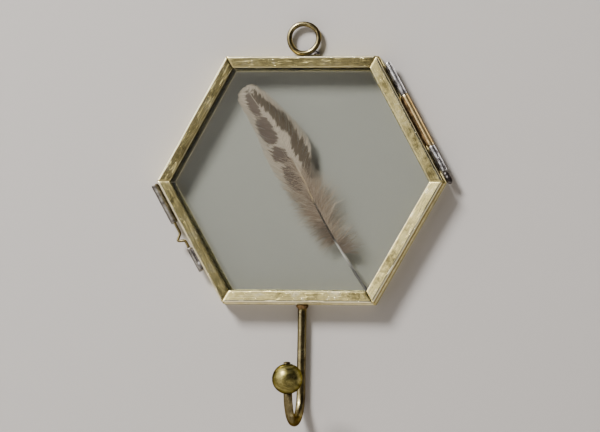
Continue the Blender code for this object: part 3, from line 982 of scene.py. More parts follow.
@dataclass(frozen=True)
class Side:
    """One side of the hexagon, with its frame: X outwards, Y to the back, Z along it.

    Attributes:
        start: Its first corner.
        end: Its last corner.
        start_turn: Half the angle turned at its first corner.
        end_turn: Half the angle turned at its last corner.
    """

    start: Vector
    end: Vector
    start_turn: float
    end_turn: float

    @property
    def length(self) -> float:
        """The side's length."""
        return (self.end - self.start).length

    @property
    def along(self) -> Vector:
        """The direction from its first corner to its last."""
        return (self.end - self.start).normalized()

    @property
    def outwards(self) -> Vector:
        """The direction away from the hexagon."""
        return Vector((self.along.z, 0.0, -self.along.x))

    def place(self, distance: float, out: float = 0.0) -> Matrix:
        """A frame that stands on the side.

        Args:
            distance: How far from the first corner.
            out: How far outwards.

        Returns:
            The frame's matrix.
        """
        origin = self.start + self.along * distance + self.outwards * out
        turn = Matrix((self.outwards, (0.0, 1.0, 0.0), self.along)).transposed()
        return Matrix.Translation(origin) @ turn.to_4x4()


@dataclass
class Hexagon:
    """The outline that both halves share.

    Attributes:
        top_half: Half the flat top's width.
        side_half: Half the width at the side corners.
        half_height: Half the height.
        side_drop: How far the side corners sit under the middle.
        back_overhang: How far the back stands out past the door.
    """

    top_half: float = 32.6 * MM
    side_half: float = 61.8 * MM
    half_height: float = 52.7 * MM
    side_drop: float = 1.0 * MM
    back_overhang: float = 0.5 * MM

    @property
    def middle(self) -> Vector:
        """The hexagon's middle, in the plane where the halves meet, read from the CAD panes."""
        back_low, back_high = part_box("back_glass")
        _, door_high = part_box("door_glass")
        middle = (back_low + back_high) / 2.0
        middle.y = (back_low.y + door_high.y) / 2.0
        return middle

    def corners(self, grow: float = 0.0) -> list[Vector]:
        """The corners, anticlockwise from the right-hand one.

        Args:
            grow: How far the sides are moved outwards.

        Returns:
            Six points in the plane where the halves meet.
        """
        flat = [
            (self.side_half, -self.side_drop),
            (self.top_half, self.half_height),
            (-self.top_half, self.half_height),
            (-self.side_half, -self.side_drop),
            (-self.top_half, -self.half_height),
            (self.top_half, -self.half_height),
        ]
        centre = self.middle
        found = []
        for k, (x, z) in enumerate(flat):
            here = Vector((x, 0.0, z))
            before = (here - Vector((flat[k - 1][0], 0.0, flat[k - 1][1]))).normalized()
            after_point = flat[(k + 1) % 6]
            after = (Vector((after_point[0], 0.0, after_point[1])) - here).normalized()
            outwards = Vector((before.z + after.z, 0.0, -before.x - after.x))
            found.append(centre + here + outwards * (grow / (1.0 + before.dot(after))))
        return found

    def side(self, k: int, grow: float = 0.0) -> Side:
        """Side k, counted from the upper right one.

        Args:
            k: The side's number.
            grow: How far the outline is moved outwards.

        Returns:
            The side.
        """
        c = self.corners(grow)
        a, b = c[k % 6], c[(k + 1) % 6]
        before = (a - c[(k - 1) % 6]).normalized()
        here = (b - a).normalized()
        after = (c[(k + 2) % 6] - b).normalized()
        return Side(a, b, before.angle(here) / 2.0, here.angle(after) / 2.0)


SIDE_NAMES = ("upper_right", "top", "upper_left", "lower_left", "bottom", "lower_right")
HEXAGON = Hexagon()


@dataclass
class FrameHalf:
    """One glazed half: six folded rails and a pane.

    Attributes:
        half: Which half it is.
        depth: The channel's depth.
        face: The width of its face.
        tip_in: How far the face's inner edge leans in.
        crown: How far the outer fold stands proud.
        lip: The width of the flange behind the pane.
        sheet: The thickness of the brass.
        fold: The radius of its folds.
        mitre: Half the gap in each mitre.
        wave: How uneven the faces are.
        parting: Half the gap between the two halves.
        steps: How many steps a rail is drawn in.
        pressed: How far the faces are pressed in at the mitres, from the end inwards.
    """

    half: Half
    depth: float = 4.4 * MM
    face: float = 5.0 * MM
    tip_in: float = 0.34 * MM
    crown: float = 0.08 * MM
    lip: float = 3.0 * MM
    sheet: float = 0.42 * MM
    fold: float = 0.65 * MM
    mitre: float = 0.11 * MM
    wave: float = 0.065 * MM
    parting: float = 0.15 * MM
    steps: int = 46
    pressed: tuple[float, float, float] = (0.16 * MM, 0.05 * MM, 0.01 * MM)

    def build(self) -> None:
        """Make the six rails and dress the pane."""
        for k, name in enumerate(SIDE_NAMES):
            self._rail(k, name)
        self._pane()

    def _profile(self) -> tuple[Outline, list[float]]:
        """The channel's section as outwards and depth, and how rubbed each point is.

        Returns:
            The points, and their wear.
        """
        points: Outline = []
        wear: list[float] = []

        def add(items: Outline, rubbed: float) -> None:
            """Add points that are all equally rubbed."""
            points.extend(items)
            wear.extend([rubbed] * len(items))

        hem = self.sheet / 2.0
        fold, depth, inner = self.fold, self.depth, self.fold - self.sheet
        add(arc(-self.face + hem, hem, hem, 180.0, 270.0, 3), 0.45)
        add(spread((-self.face + hem, 0.0), (-fold, 0.0), 7), 0.12)
        add(arc(-fold, fold, fold, -90.0, 0.0, 6), 0.95)
        add(spread((0.0, fold), (0.0, depth - fold), 4), 0.1)
        add(arc(-fold, depth - fold, fold, 0.0, 90.0, 4), 0.5)
        add(spread((-fold, depth), (-self.lip + hem, depth), 3), 0.1)
        add(arc(-self.lip + hem, depth - hem, hem, 90.0, 270.0, 4), 0.3)
        add(arc(-fold, depth - fold, inner, 90.0, 0.0, 2), 0.0)
        add(arc(-fold, fold, inner, 0.0, -90.0, 2), 0.0)
        add(spread((-fold, self.sheet), (-self.face + hem, self.sheet), 3), 0.0)
        add(arc(-self.face + hem, hem, hem, 90.0, 150.0, 2), 0.5)
        return points, wear

    def _rail(self, k: int, name: str) -> None:
        """Make one mitred rail.

        Args:
            k: The side's number.
            name: The side's name.
        """
        is_back = self.half is Half.BACK
        side = HEXAGON.side(k, HEXAGON.back_overhang if is_back else 0.0)
        facing = -1.0 if is_back else 1.0
        face_y = -facing * (self.parting + self.depth)
        stand = side.place(side.length / 2.0)
        profile, wear = self._profile()
        shares = [0.02 + 0.96 * s / self.steps for s in range(self.steps + 1)]
        shares = [0.0, 0.003, 0.010] + shares + [0.990, 0.997, 1.0]
        rows: list[list[Vector]] = []
        worn: list[float] = []
        lay: list[Vector] = []
        seed = k * 3.1 + (40.0 if is_back else 0.0)
        for index, share in enumerate(shares):
            from_end = min(index, len(shares) - 1 - index)
            press = self.pressed[from_end] if from_end < len(self.pressed) else 0.0
            row = []
            travel = 0.0
            for n, (x, d) in enumerate(profile):
                if n:
                    travel += math.hypot(x - profile[n - 1][0], d - profile[n - 1][1])
                low = -side.length / 2.0 - x * math.tan(side.start_turn) + self.mitre
                high = side.length / 2.0 + x * math.tan(side.end_turn) - self.mitre
                z = low + (high - low) * share
                bend = self.wave * ripple(Vector((x, 0.0, z)), 7.0 * MM, seed)
                bend += 0.4 * self.wave * ripple(Vector((x, 0.0, z)), 2.2 * MM, seed + 9.0)
                sway = self.wave * ripple(Vector((0.0, 0.0, z)), 8.0 * MM, seed + 5.0)
                on_face = max(0.0, 1.0 - d / self.fold)
                on_edge = max(0.0, 1.0 + x / self.fold)
                on_hem = max(0.0, 1.0 - (x + self.face) / (2.0 * self.sheet))
                dd = d + (bend * (1.0 - on_hem) + press - self.crown) * on_face
                if d < 2.0 * self.sheet:
                    dd += self.tip_in * max(0.0, -self.fold - x) / (self.face - self.fold)
                xx = x + (0.7 * bend - press) * on_edge + sway * on_hem
                row.append(stand @ Vector((xx, face_y + facing * dd, z)))
                worn.append(wear[n] * (0.0 if from_end < 2 else 1.0))
                lay.append(Vector((z + k * 0.1, travel, seed * 0.01)))
            rows.append(row)
        node = f"{self.half.value}_rail_{name}"
        body = Body.BACK if is_back else Body.DOOR
        Skin(rows, values={"wear": worn}, lay=lay).piece(f"{node}.folded", RAIL_BRASS, body, node)

    def _pane(self) -> None:
        """Give the CAD pane its finish."""
        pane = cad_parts[f"{self.half.value}_glass"]
        pane.data.materials.clear()
        pane.data.materials.append(PANE.material())
        LOG.info("%s dressed", pane.name)


# ---------------------------------------------------------------- solder


@dataclass
class ValleySolder:
    """A run of solder between a tube and the wall beside it.

    Attributes:
        radius: The tube's radius.
        from_wall: The distance of the tube's axis from the wall.
        back: 1 for the back's side of the tube, -1 for the door's.
        length: The run's length.
        seed: A number that picks its lumps.
    """

    radius: float
    from_wall: float
    back: float
    length: float
    seed: float

    def skin(self, stand: Matrix) -> Skin:
        """The solder's body.

        Args:
            stand: The frame of the tube's middle, with Z along its axis.

        Returns:
            The body.
        """
        reach = self.radius + 0.02 * MM
        wall = 0.03 * MM - self.from_wall
        steps, length_steps = 7, 26
        top = (wall, reach * 1.30)
        low = (wall, max(0.30 * MM, reach * math.sin(math.acos(min(1.0, -wall / reach)))))
        angles = [math.radians(14 + 62 * k / steps) for k in range(steps + 1)]
        loop = [(-reach * math.cos(a), reach * math.sin(a)) for a in angles]
        loop = [p for p in loop if p[0] > wall] or loop[-2:]
        start = loop[-1]
        hollow = [
            (
                start[0] + (top[0] - start[0]) * k / 5 - 0.10 * self.radius * math.sin(math.pi * k / 5),
                start[1] + (top[1] - start[1]) * k / 5 - 0.16 * self.radius * math.sin(math.pi * k / 5),
            )
            for k in range(1, 5)
        ]
        section = loop + hollow + [top, low]
        rows: list[list[Vector]] = []
        worn: list[float] = []
        lay: list[Vector] = []
        cx = sum(p[0] for p in section) / len(section)
        cy = sum(p[1] for p in section) / len(section)
        for k in range(length_steps + 1):
            share = k / length_steps
            z = (share - 0.5) * self.length
            end = min(1.0, 6.0 * min(share, 1.0 - share)) ** 0.5
            size = 0.25 + 0.75 * end
            row = []
            for n, (x, y) in enumerate(section):
                bare = len(loop) <= n < len(section) - 2
                lump = 0.16 * MM * ripple(Vector((x, y, z)), 1.6 * MM, self.seed) if bare else 0.0
                px = cx + (x - cx) * size + lump * 0.6
                py = cy + (y - cy) * size + lump
                row.append(stand @ Vector((px, self.back * py, z)))
                worn.append(SOLDER_WEAR)
                lay.append(Vector((z, x + y, self.seed * 0.01)))
            rows.append(row)
        return Skin(rows, values={"wear": worn}, lay=lay)


def solder_drop(stand: Matrix, radius: float, length: float, seed: float) -> Skin:
    """A lumpy drop of solder.

    Args:
        stand: The frame of its middle, with Z along it.
        radius: Its radius.
        length: Its length.
        seed: A number that picks its lumps.

    Returns:
        The body.
    """
    steps = 16
    stations = []
    for k in range(steps + 1):
        angle = math.pi * (0.03 + 0.94 * k / steps)
        stations.append((radius * math.sin(angle) ** 0.8, -0.5 * length * math.cos(angle)))
    wear = [0.3] * len(stations)
    return round_body(stations, stand, 28, rough=0.14 * radius, wavelength=1.3 * MM, seed=seed, wear=wear)


# ---------------------------------------------------------------- hinge and latch


@dataclass
class Hinge:
    """The barrel hinge outside the upper right side.

    Attributes:
        radius: The barrel's radius.
        bore: Its bore's radius.
        start: How far under the top corner it starts.
        lengths: The lengths of its three knuckles.
        gap: The gap between knuckles, and to the wall.
        pin: The pin's radius.
        pin_inset: How far the pin's ends lie inside the barrel.
        drip_under: How far under the barrel the solder drip's middle is.
        drip: The drip's radius.
        drip_length: The drip's length.
    """

    radius: float = 1.45 * MM
    bore: float = 0.65 * MM
    start: float = 4.3 * MM
    lengths: tuple[float, float, float] = (15.3 * MM, 24.6 * MM, 12.0 * MM)
    gap: float = 0.3 * MM
    pin: float = 0.60 * MM
    pin_inset: float = 1.0 * MM
    drip_under: float = 3.2 * MM
    drip: float = 1.40 * MM
    drip_length: float = 6.0 * MM

    def _stand(self, from_top: float) -> Matrix:
        """The frame on the barrel's axis, so far under the top corner."""
        side = HEXAGON.side(0)
        return side.place(side.length - from_top, HEXAGON.back_overhang + self.gap + self.radius)

    def build(self) -> None:
        """Make the knuckles, the pin and the solder."""
        place = self.start
        rows = (
            ("upper", TINNED, Body.BACK, 1.0),
            ("middle", TUBE_BRASS, Body.DOOR, -1.0),
            ("lower", TINNED, Body.BACK, 1.0),
        )
        for k, (name, finish, body, back) in enumerate(rows):
            length = self.lengths[k]
            stand = self._stand(place + length / 2.0)
            stations, wear = tube_stations(self.radius, self.bore, length, 22)
            rough = 0.015 * MM if finish is TUBE_BRASS else 0.05 * MM
            tube = round_body(stations, stand, 48, True, rough, 2.0 * MM, 5.0 + k, wear)
            tube.piece(f"hinge_knuckle_{name}.tube", finish, body, f"hinge_knuckle_{name}")
            wall = self.gap + self.radius + (HEXAGON.back_overhang if body is Body.DOOR else 0.0)
            run = ValleySolder(self.radius, wall, back, length - self.gap, 11.0 + k)
            # The door's knuckle seam takes the dark brown solder, painted shade in the valley by the rail.
            seam = SHADE_DARK_SOLDER if body is Body.DOOR else SOLDER
            run.skin(stand).piece(f"hinge_solder_{name}.run", seam, body, f"hinge_solder_{name}")
            place += length + self.gap
        end = place - self.gap
        self._pin(end)
        drop = solder_drop(self._stand(end + self.drip_under), self.drip, self.drip_length, 21.0)
        drop.piece("hinge_solder_drip.drop", SOLDER, Body.BACK, "hinge_solder_drip")

    def _pin(self, end: float) -> None:
        """Make the pin.

        Args:
            end: How far under the top corner the barrel ends.
        """
        stand = self._stand((self.start + end) / 2.0)
        half = (end - self.start) / 2.0 - self.pin_inset
        ends = ((0.5, 0.0), (0.9, 0.1 * MM), (1.0, 0.25 * MM))
        stations = [(share * self.pin, inset - half) for share, inset in ends]
        stations += [(share * self.pin, half - inset) for share, inset in reversed(ends)]
        pin = round_body(stations, stand, 20, seed=3.0)
        pin.piece("hinge_pin.rod", WIRE_BRASS, Body.BACK, "hinge_pin")


@dataclass
class Latch:
    """The sliding bolt outside the lower left side.

    Attributes:
        guide_radius: The guide tube's radius.
        guide_start: How far under the side corner it starts.
        guide_length: Its length.
        keeper_radius: The keeper tube's radius.
        keeper_length: Its length.
        wire: The bolt's radius.
        travel: How far the bolt slides.
        gap: The gap to the wall.
        lead: The bare wire between the guide and the thumb bend.
        thumb_length: The length of the thumb bend.
        thumb_reach: How far the thumb bend stands out.
        play: The clearance round the bolt in its tubes.
        clear: How far the bolt's tip stands from the keeper's mouth.
        stop: How much of the straight end is left over when the bolt is home.
        tail_inset: How far the bolt's tail lies inside the guide.
        ease: How far from a corner the wire starts to bend.
    """

    guide_radius: float = 1.5 * MM
    guide_start: float = 0.2 * MM
    guide_length: float = 18.6 * MM
    keeper_radius: float = 1.1 * MM
    keeper_length: float = 11.0 * MM
    wire: float = 0.60 * MM
    travel: float = 3.0 * MM
    gap: float = 0.3 * MM
    lead: float = 5.0 * MM
    thumb_length: float = 4.0 * MM
    thumb_reach: float = 2.4 * MM
    play: float = 0.08 * MM
    clear: float = 0.4 * MM
    stop: float = 0.5 * MM
    tail_inset: float = 1.0 * MM
    ease: float = 0.9 * MM

    @property
    def tip(self) -> float:
        """The length of the bolt's straight end."""
        return self.travel + self.stop

    def _offset(self, radius: float) -> float:
        """How far a tube's axis stands outside the door's wall."""
        return HEXAGON.back_overhang + self.gap + radius

    def build(self) -> None:
        """Make the guide, the keeper, their solder and the bolt."""
        side = HEXAGON.side(3)
        bore = self.wire + self.play
        guide_end = self.guide_start + self.guide_length
        stand = side.place(self.guide_start + self.guide_length / 2.0, self._offset(self.guide_radius))
        stations, wear = tube_stations(self.guide_radius, bore, self.guide_length, 22)
        guide = round_body(stations, stand, 48, True, 0.05 * MM, 2.0 * MM, 31.0, wear)
        guide.piece("latch_guide.tube", DULL_TIN, Body.BACK, "latch_guide")
        from_wall = self.gap + self.guide_radius
        run = ValleySolder(self.guide_radius, from_wall, 1.0, self.guide_length - self.gap, 33.0)
        run.skin(stand).piece("latch_guide_solder.run", SOLDER, Body.BACK, "latch_guide_solder")
        self._bolt(side)
        mouth = guide_end + self.lead + self.thumb_length + self.tip + self.clear
        stand = side.place(mouth + self.keeper_length / 2.0, self._offset(self.keeper_radius))
        stations, wear = tube_stations(self.keeper_radius, bore, self.keeper_length, 16)
        keeper = round_body(stations, stand, 40, True, 0.04 * MM, 1.6 * MM, 35.0, wear)
        keeper.piece("latch_keeper.tube", DULL_TIN, Body.DOOR, "latch_keeper")
        from_wall = self._offset(self.keeper_radius)
        run = ValleySolder(self.keeper_radius, from_wall, -1.0, self.keeper_length - self.gap, 37.0)
        run.skin(stand).piece("latch_keeper_solder.run", SOLDER, Body.DOOR, "latch_keeper_solder")

    def _bolt(self, side: Side) -> None:
        """Make the bent wire.

        Args:
            side: The side that it slides along.
        """
        stand = side.place(self.guide_start + self.guide_length, self._offset(self.guide_radius))
        step = self._offset(self.keeper_radius) - self._offset(self.guide_radius)
        foot = self.lead + self.thumb_length
        knots = [
            (0.0, self.tail_inset - self.guide_length),
            (0.0, self.lead),
            (self.thumb_reach * 0.25, self.lead + 0.22 * self.thumb_length),
            (self.thumb_reach, self.lead + 0.56 * self.thumb_length),
            (self.thumb_reach * 0.9, self.lead + 0.72 * self.thumb_length),
            (step, foot),
            (step, foot + self.tip),
        ]
        path = [stand @ Vector((x, 0.0, z)) for x, z in self._eased(knots)]
        radii = [self.wire] * len(path)
        radii[0] = radii[-1] = 0.7 * self.wire
        wire = Wire(path, radii, Vector((0.0, 1.0, 0.0)), 20, rough=0.015 * MM, seed=41.0)
        wire.skin().piece("latch_bolt.wire", WIRE_BRASS, Body.BOLT, "latch_bolt")

    def _eased(self, knots: Outline) -> Outline:
        """The knots with each corner eased by a short curve.

        Args:
            knots: The corner points.

        Returns:
            The eased path, with its straight runs divided.
        """
        near_end = Vector((0.0, 0.15 * MM))
        path = [Vector(knots[0]), Vector(knots[0]) + near_end]
        for k in range(1, len(knots) - 1):
            here = Vector(knots[k])
            before = Vector(knots[k - 1]) - here
            after = Vector(knots[k + 1]) - here
            first = here + before.normalized() * min(self.ease, 0.45 * before.length)
            last = here + after.normalized() * min(self.ease, 0.45 * after.length)
            for step in range(7):
                t = step / 6
                path.append(first * (1 - t) ** 2 + here * 2 * t * (1 - t) + last * t * t)
        path += [Vector(knots[-1]) - near_end, Vector(knots[-1])]
        return [(p.x, p.y) for p in path]


# ---------------------------------------------------------------- ring and hook


@dataclass
class HangingRing:
    """The ring of wire on the top rail, and the solder beside it.

    Attributes:
        outer: Its outer radius.
        wire: Its wire's radius.
        sunk: How far under the ring's foot the rail's top lies.
        solder_from: Where the solder starts, across from the ring's middle.
        solder_long: How long it is.
        solder_peak: Where it is thickest.
        solder_spread: How fast it thins out.
        solder_tall: How thick it is there.
    """

    outer: float = 7.45 * MM
    wire: float = 1.1 * MM
    sunk: float = 0.27 * MM
    solder_from: float = -1.6 * MM
    solder_long: float = 9.2 * MM
    solder_peak: float = 4.3 * MM
    solder_spread: float = 3.6 * MM
    solder_tall: float = 2.9 * MM

    def build(self) -> None:
        """Make the ring and its solder."""
        low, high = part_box("hanging_ring")
        centre = (low + high) / 2.0
        radius = self.outer - self.wire
        steps = 120
        path = []
        radii = []
        for k in range(steps):
            angle = 2.0 * math.pi * k / steps
            wobble = 1.0 + 0.012 * math.sin(3.0 * angle + 0.6)
            path.append(centre + Vector((math.cos(angle), 0.0, math.sin(angle))) * radius * wobble)
            radii.append(self.wire * (1.0 + 0.02 * math.sin(7.0 * angle)))
        ring = Wire(path, radii, Vector((0.0, 1.0, 0.0)), 30, True, 0.02 * MM, 51.0)
        ring.skin().piece("hanging_ring.wire", WIRE_BRASS, Body.BACK, "hanging_ring")
        self._solder(centre)

    def _solder(self, centre: Vector) -> None:
        """Make the solder in the valley to the right of the ring's foot.

        Args:
            centre: The ring's centre.
        """
        floor = -self.outer - self.sunk
        steps, wide = 16, 12
        rows: list[list[Vector]] = []
        worn: list[float] = []
        lay: list[Vector] = []
        for k in range(steps + 1):
            share = k / steps
            x = self.solder_from + self.solder_long * share
            ring_z = -math.sqrt(max(self.outer**2 - x * x, 0.0)) if abs(x) < self.outer else 0.0
            swell = max(0.0, 1.0 - ((x - self.solder_peak) / self.solder_spread) ** 2)
            tall = min(ring_z, floor + self.solder_tall * swell)
            top = max(floor + 0.12 * MM, tall)
            half = self.wire * (1.15 - 0.35 * abs(2.0 * share - 1.0))
            row = []
            for n in range(wide):
                angle = math.pi * 2.0 * n / wide
                y = half * math.cos(angle)
                z = floor + (top - floor) * (0.5 + 0.5 * math.sin(angle))
                lump = 0.12 * MM * ripple(Vector((x, y, z)), 1.4 * MM, 57.0)
                row.append(centre + Vector((x, y + lump, z + lump * (0.5 + 0.5 * math.sin(angle)))))
                worn.append(SOLDER_WEAR)
                lay.append(Vector((x, angle * half, 0.5)))
            rows.append(row)
        skin = Skin(rows, values={"wear": worn}, lay=lay)
        skin.piece("ring_solder.run", SOLDER, Body.BACK, "ring_solder")


@dataclass
class Hook:
    """The bent wire under the frame, with its ball.

    Attributes:
        wire: The wire's radius.
        bend: The radius of its bend.
        drop: The length of its straight stem.
        bend_deg: The angle of its bend.
        stub: The straight end under the ball.
        ball: The ball's radius.
        spigot: The radius of the wire's end through the ball.
        twist_deg: How far the hook is turned about its stem.
        play: The clearance round the spigot.
        seat: The gap between the stub and the ball.
        collar: The solder's section under the rail, as a share of its width and a height.
        collar_half: Half the collar's width.
        collar_deep: Half its depth.
    """

    wire: float = 1.85 * MM
    bend: float = 12.5 * MM
    drop: float = 36.3 * MM
    bend_deg: float = 168.0
    stub: float = 1.5 * MM
    ball: float = 6.45 * MM
    spigot: float = 1.2 * MM
    twist_deg: float = -2.6
    play: float = 0.05 * MM
    seat: float = 0.3 * MM
    collar: tuple[tuple[float, float], ...] = (
        (0.92, 0.25 * MM), (1.0, 0.0), (0.98, -0.45 * MM),
        (0.86, -0.9 * MM), (0.72, -1.4 * MM), (0.64, -1.9 * MM),
    )
    collar_half: float = 2.7 * MM
    collar_deep: float = 1.95 * MM

    def build(self) -> None:
        """Make the wire, the ball and the solder."""
        _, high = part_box("hook_wire")
        solder_low, solder_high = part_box("hook_solder")
        across = (solder_low.x + solder_high.x) / 2.0
        stem_y = (solder_low.y + solder_high.y) / 2.0
        turn = Matrix.Rotation(math.radians(self.twist_deg), 4, "Z")
        stand = Matrix.Translation((across, stem_y, high.z)) @ turn
        self._wire(stand)
        self._ball(stand)
        self._solder(Vector((across, stem_y, solder_high.z)))

    def _on_bend(self, angle: float) -> Vector:
        """The wire's middle at an angle round the bend."""
        ahead = -self.bend + self.bend * math.cos(angle)
        return Vector((0.0, ahead, -self.drop - self.bend * math.sin(angle)))

    def _end(self) -> tuple[Vector, Vector]:
        """Where the bend ends, and which way the wire then runs."""
        angle = math.radians(self.bend_deg)
        lean = math.pi - angle
        return self._on_bend(angle), Vector((0.0, -math.sin(lean), math.cos(lean)))

    def _wire(self, stand: Matrix) -> None:
        """Make the bent wire with its thinned end.

        Args:
            stand: The frame at the stem's top.
        """
        path = [Vector((0.0, 0.0, 0.0)), Vector((0.0, 0.0, -0.25 * self.wire))]
        path += [Vector((0.0, 0.0, -self.drop * k / 24)) for k in range(1, 24)]
        path += [self._on_bend(math.radians(self.bend_deg) * k / 60) for k in range(61)]
        end, along = self._end()
        radii = [self.wire] * len(path)
        radii[0] = 0.85 * self.wire
        seat = end + along * self.stub
        length = 2.0 * self.ball + 0.35 * MM
        for distance, radius in (
            (0.0, self.wire),
            (0.3 * MM, self.wire * 0.96),
            (0.5 * MM, self.spigot),
            (length - 0.15 * MM, self.spigot),
            (length, self.spigot * 1.25),
            (length + 0.35 * MM, self.spigot * 1.15),
            (length + 0.55 * MM, self.spigot * 0.6),
        ):
            path.append(seat + along * distance)
            radii.append(radius)
        normal = (stand.to_3x3() @ Vector((1.0, 0.0, 0.0))).normalized()
        wire = Wire([stand @ p for p in path], radii, normal, 36, rough=0.03 * MM, seed=61.0)
        wire.skin().piece("hook_wire.bent", WIRE_BRASS, Body.BACK, "hook_wire")

    def _ball(self, stand: Matrix) -> None:
        """Make the drilled ball.

        Args:
            stand: The frame at the stem's top.
        """
        end, along = self._end()
        bore = self.spigot + self.play
        half = math.sqrt(self.ball**2 - bore**2)
        centre = end + along * (self.stub + self.seat + half)
        lean = math.radians(180.0 - self.bend_deg)
        place = stand @ Matrix.Translation(centre) @ Matrix.Rotation(lean, 4, "X")
        first = math.asin(bore / self.ball)
        steps = 56
        stations = []
        for k in range(steps + 1):
            angle = first + (math.pi - 2.0 * first) * k / steps
            stations.append((self.ball * math.sin(angle), -self.ball * math.cos(angle)))
        wear = [0.5 if k in (0, 1, steps - 1, steps) else 0.12 for k in range(steps + 1)]
        ball = round_body(stations, place, 96, True, 0.05 * MM, 4.0 * MM, 71.0, wear)
        ball.piece("hook_ball.drilled", BALL_BRASS, Body.BACK, "hook_ball")

    def _solder(self, top: Vector) -> None:
        """Make the solder between the stem and the rail.

        Args:
            top: The middle of the solder's top.
        """
        rows: list[list[Vector]] = []
        worn: list[float] = []
        lay: list[Vector] = []
        sides = 32
        for share, z in self.collar:
            row = []
            for n in range(sides):
                angle = 2.0 * math.pi * n / sides
                lump = 1.0 + 0.05 * ripple(Vector((math.cos(angle), math.sin(angle), z / MM)), 0.7, 77.0)
                x = self.collar_half * share * math.cos(angle) * lump
                y = self.collar_deep * (0.5 + 0.5 * share) * math.sin(angle) * lump
                row.append(top + Vector((x, y, z)))
                worn.append(SOLDER_WEAR)
                lay.append(Vector((z, angle * 3.0 * MM, 0.7)))
            rows.append(row)
        skin = Skin(rows, values={"wear": worn}, lay=lay)
        # The collar takes the dark brown solder, painted shade under the rail.
        skin.piece("hook_solder.collar", SHADE_DARK_SOLDER, Body.BACK, "hook_solder")


# ---------------------------------------------------------------- feather


@dataclass(frozen=True)
class Bar:
    """A dark mark on the vane: spots along a line, each as distance, offset and radius in millimetres."""

    spots: tuple[tuple[float, float, float], ...]

    def depth(self, distance: float, offset: float) -> float:
        """How far inside the mark a place is.

        Args:
            distance: Along the shaft, in millimetres.
            offset: Across it, in millimetres.

        Returns:
            The depth in millimetres, negative outside.
        """
        best = -9.0
        here = Vector((distance, offset))
        for a, b in zip(self.spots, self.spots[1:]):
            start, end = Vector(a[:2]), Vector(b[:2])
            line = end - start
            share = max(0.0, min(1.0, (here - start).dot(line) / line.length_squared))
            radius = a[2] + (b[2] - a[2]) * share
            best = max(best, radius - (here - start - line * share).length)
        return best


@dataclass(frozen=True)
class Tuft:
    """A stretch of down along the shaft, in millimetres.

    Attributes:
        low: Where it starts.
        high: Where it ends.
        lean: How far its strands lean forwards from straight out, in radians.
        reach: How long they are.
        dark: How dark they are.
        count: How many there are.
    """

    low: float
    high: float
    lean: float
    reach: float
    dark: float
    count: int


@dataclass
class Barbs:
    """Many thin blades gathered into one mesh.

    Attributes:
        points: Their points.
        faces: Their faces.
        bar: How dark each point is.
        side: Which of the two dark colours it takes: 0 for the lit one, 1 for the painted shaded one.
        tone: How light its blade is.
        lay: Its place along and across the blade.
    """

    points: list[Vector] = field(default_factory=list)
    faces: list[tuple[int, ...]] = field(default_factory=list)
    bar: list[float] = field(default_factory=list)
    side: list[float] = field(default_factory=list)
    tone: list[float] = field(default_factory=list)
    lay: list[Vector] = field(default_factory=list)

    def blade(
        self, spine: list[Vector], reaches: list[Vector], bars: list[float], side: float, tone: float
    ) -> None:
        """Add one blade.

        Args:
            spine: Its middle line.
            reaches: From the middle line to one edge, at each point.
            bars: How dark it is at each point.
            side: Which of the two dark colours it takes: 0 for the lit one, 1 for the painted shaded one.
            tone: How light it is.
        """
        start = len(self.points)
        travel = 0.0
        for k, (spot, reach, dark) in enumerate(zip(spine, reaches, bars)):
            if k:
                travel += (spot - spine[k - 1]).length
                a = start + 2 * (k - 1)
                self.faces.append((a, a + 1, a + 3, a + 2))
            for sign in (-1.0, 1.0):
                self.points.append(spot + reach * sign)
                self.bar.append(dark)
                self.side.append(side)
                self.tone.append(tone)
                self.lay.append(Vector((travel, 0.05 * tone + 0.0001 * sign, 0.0)))

    def piece(self, name: str, finish: Finish, node: str) -> None:
        """Make the mesh, riding on the back.

        Args:
            name: The piece's name.
            finish: Its finish.
            node: The CAD node that it stands for.
        """
        values = {"bar": self.bar, "side": self.side, "tone": self.tone}
        make_piece(name, self.points, self.faces, finish, Body.BACK, (node,), values, self.lay, 180.0)


# Distances along the shaft with the width there, in millimetres.
Widths = tuple[tuple[float, float], ...]


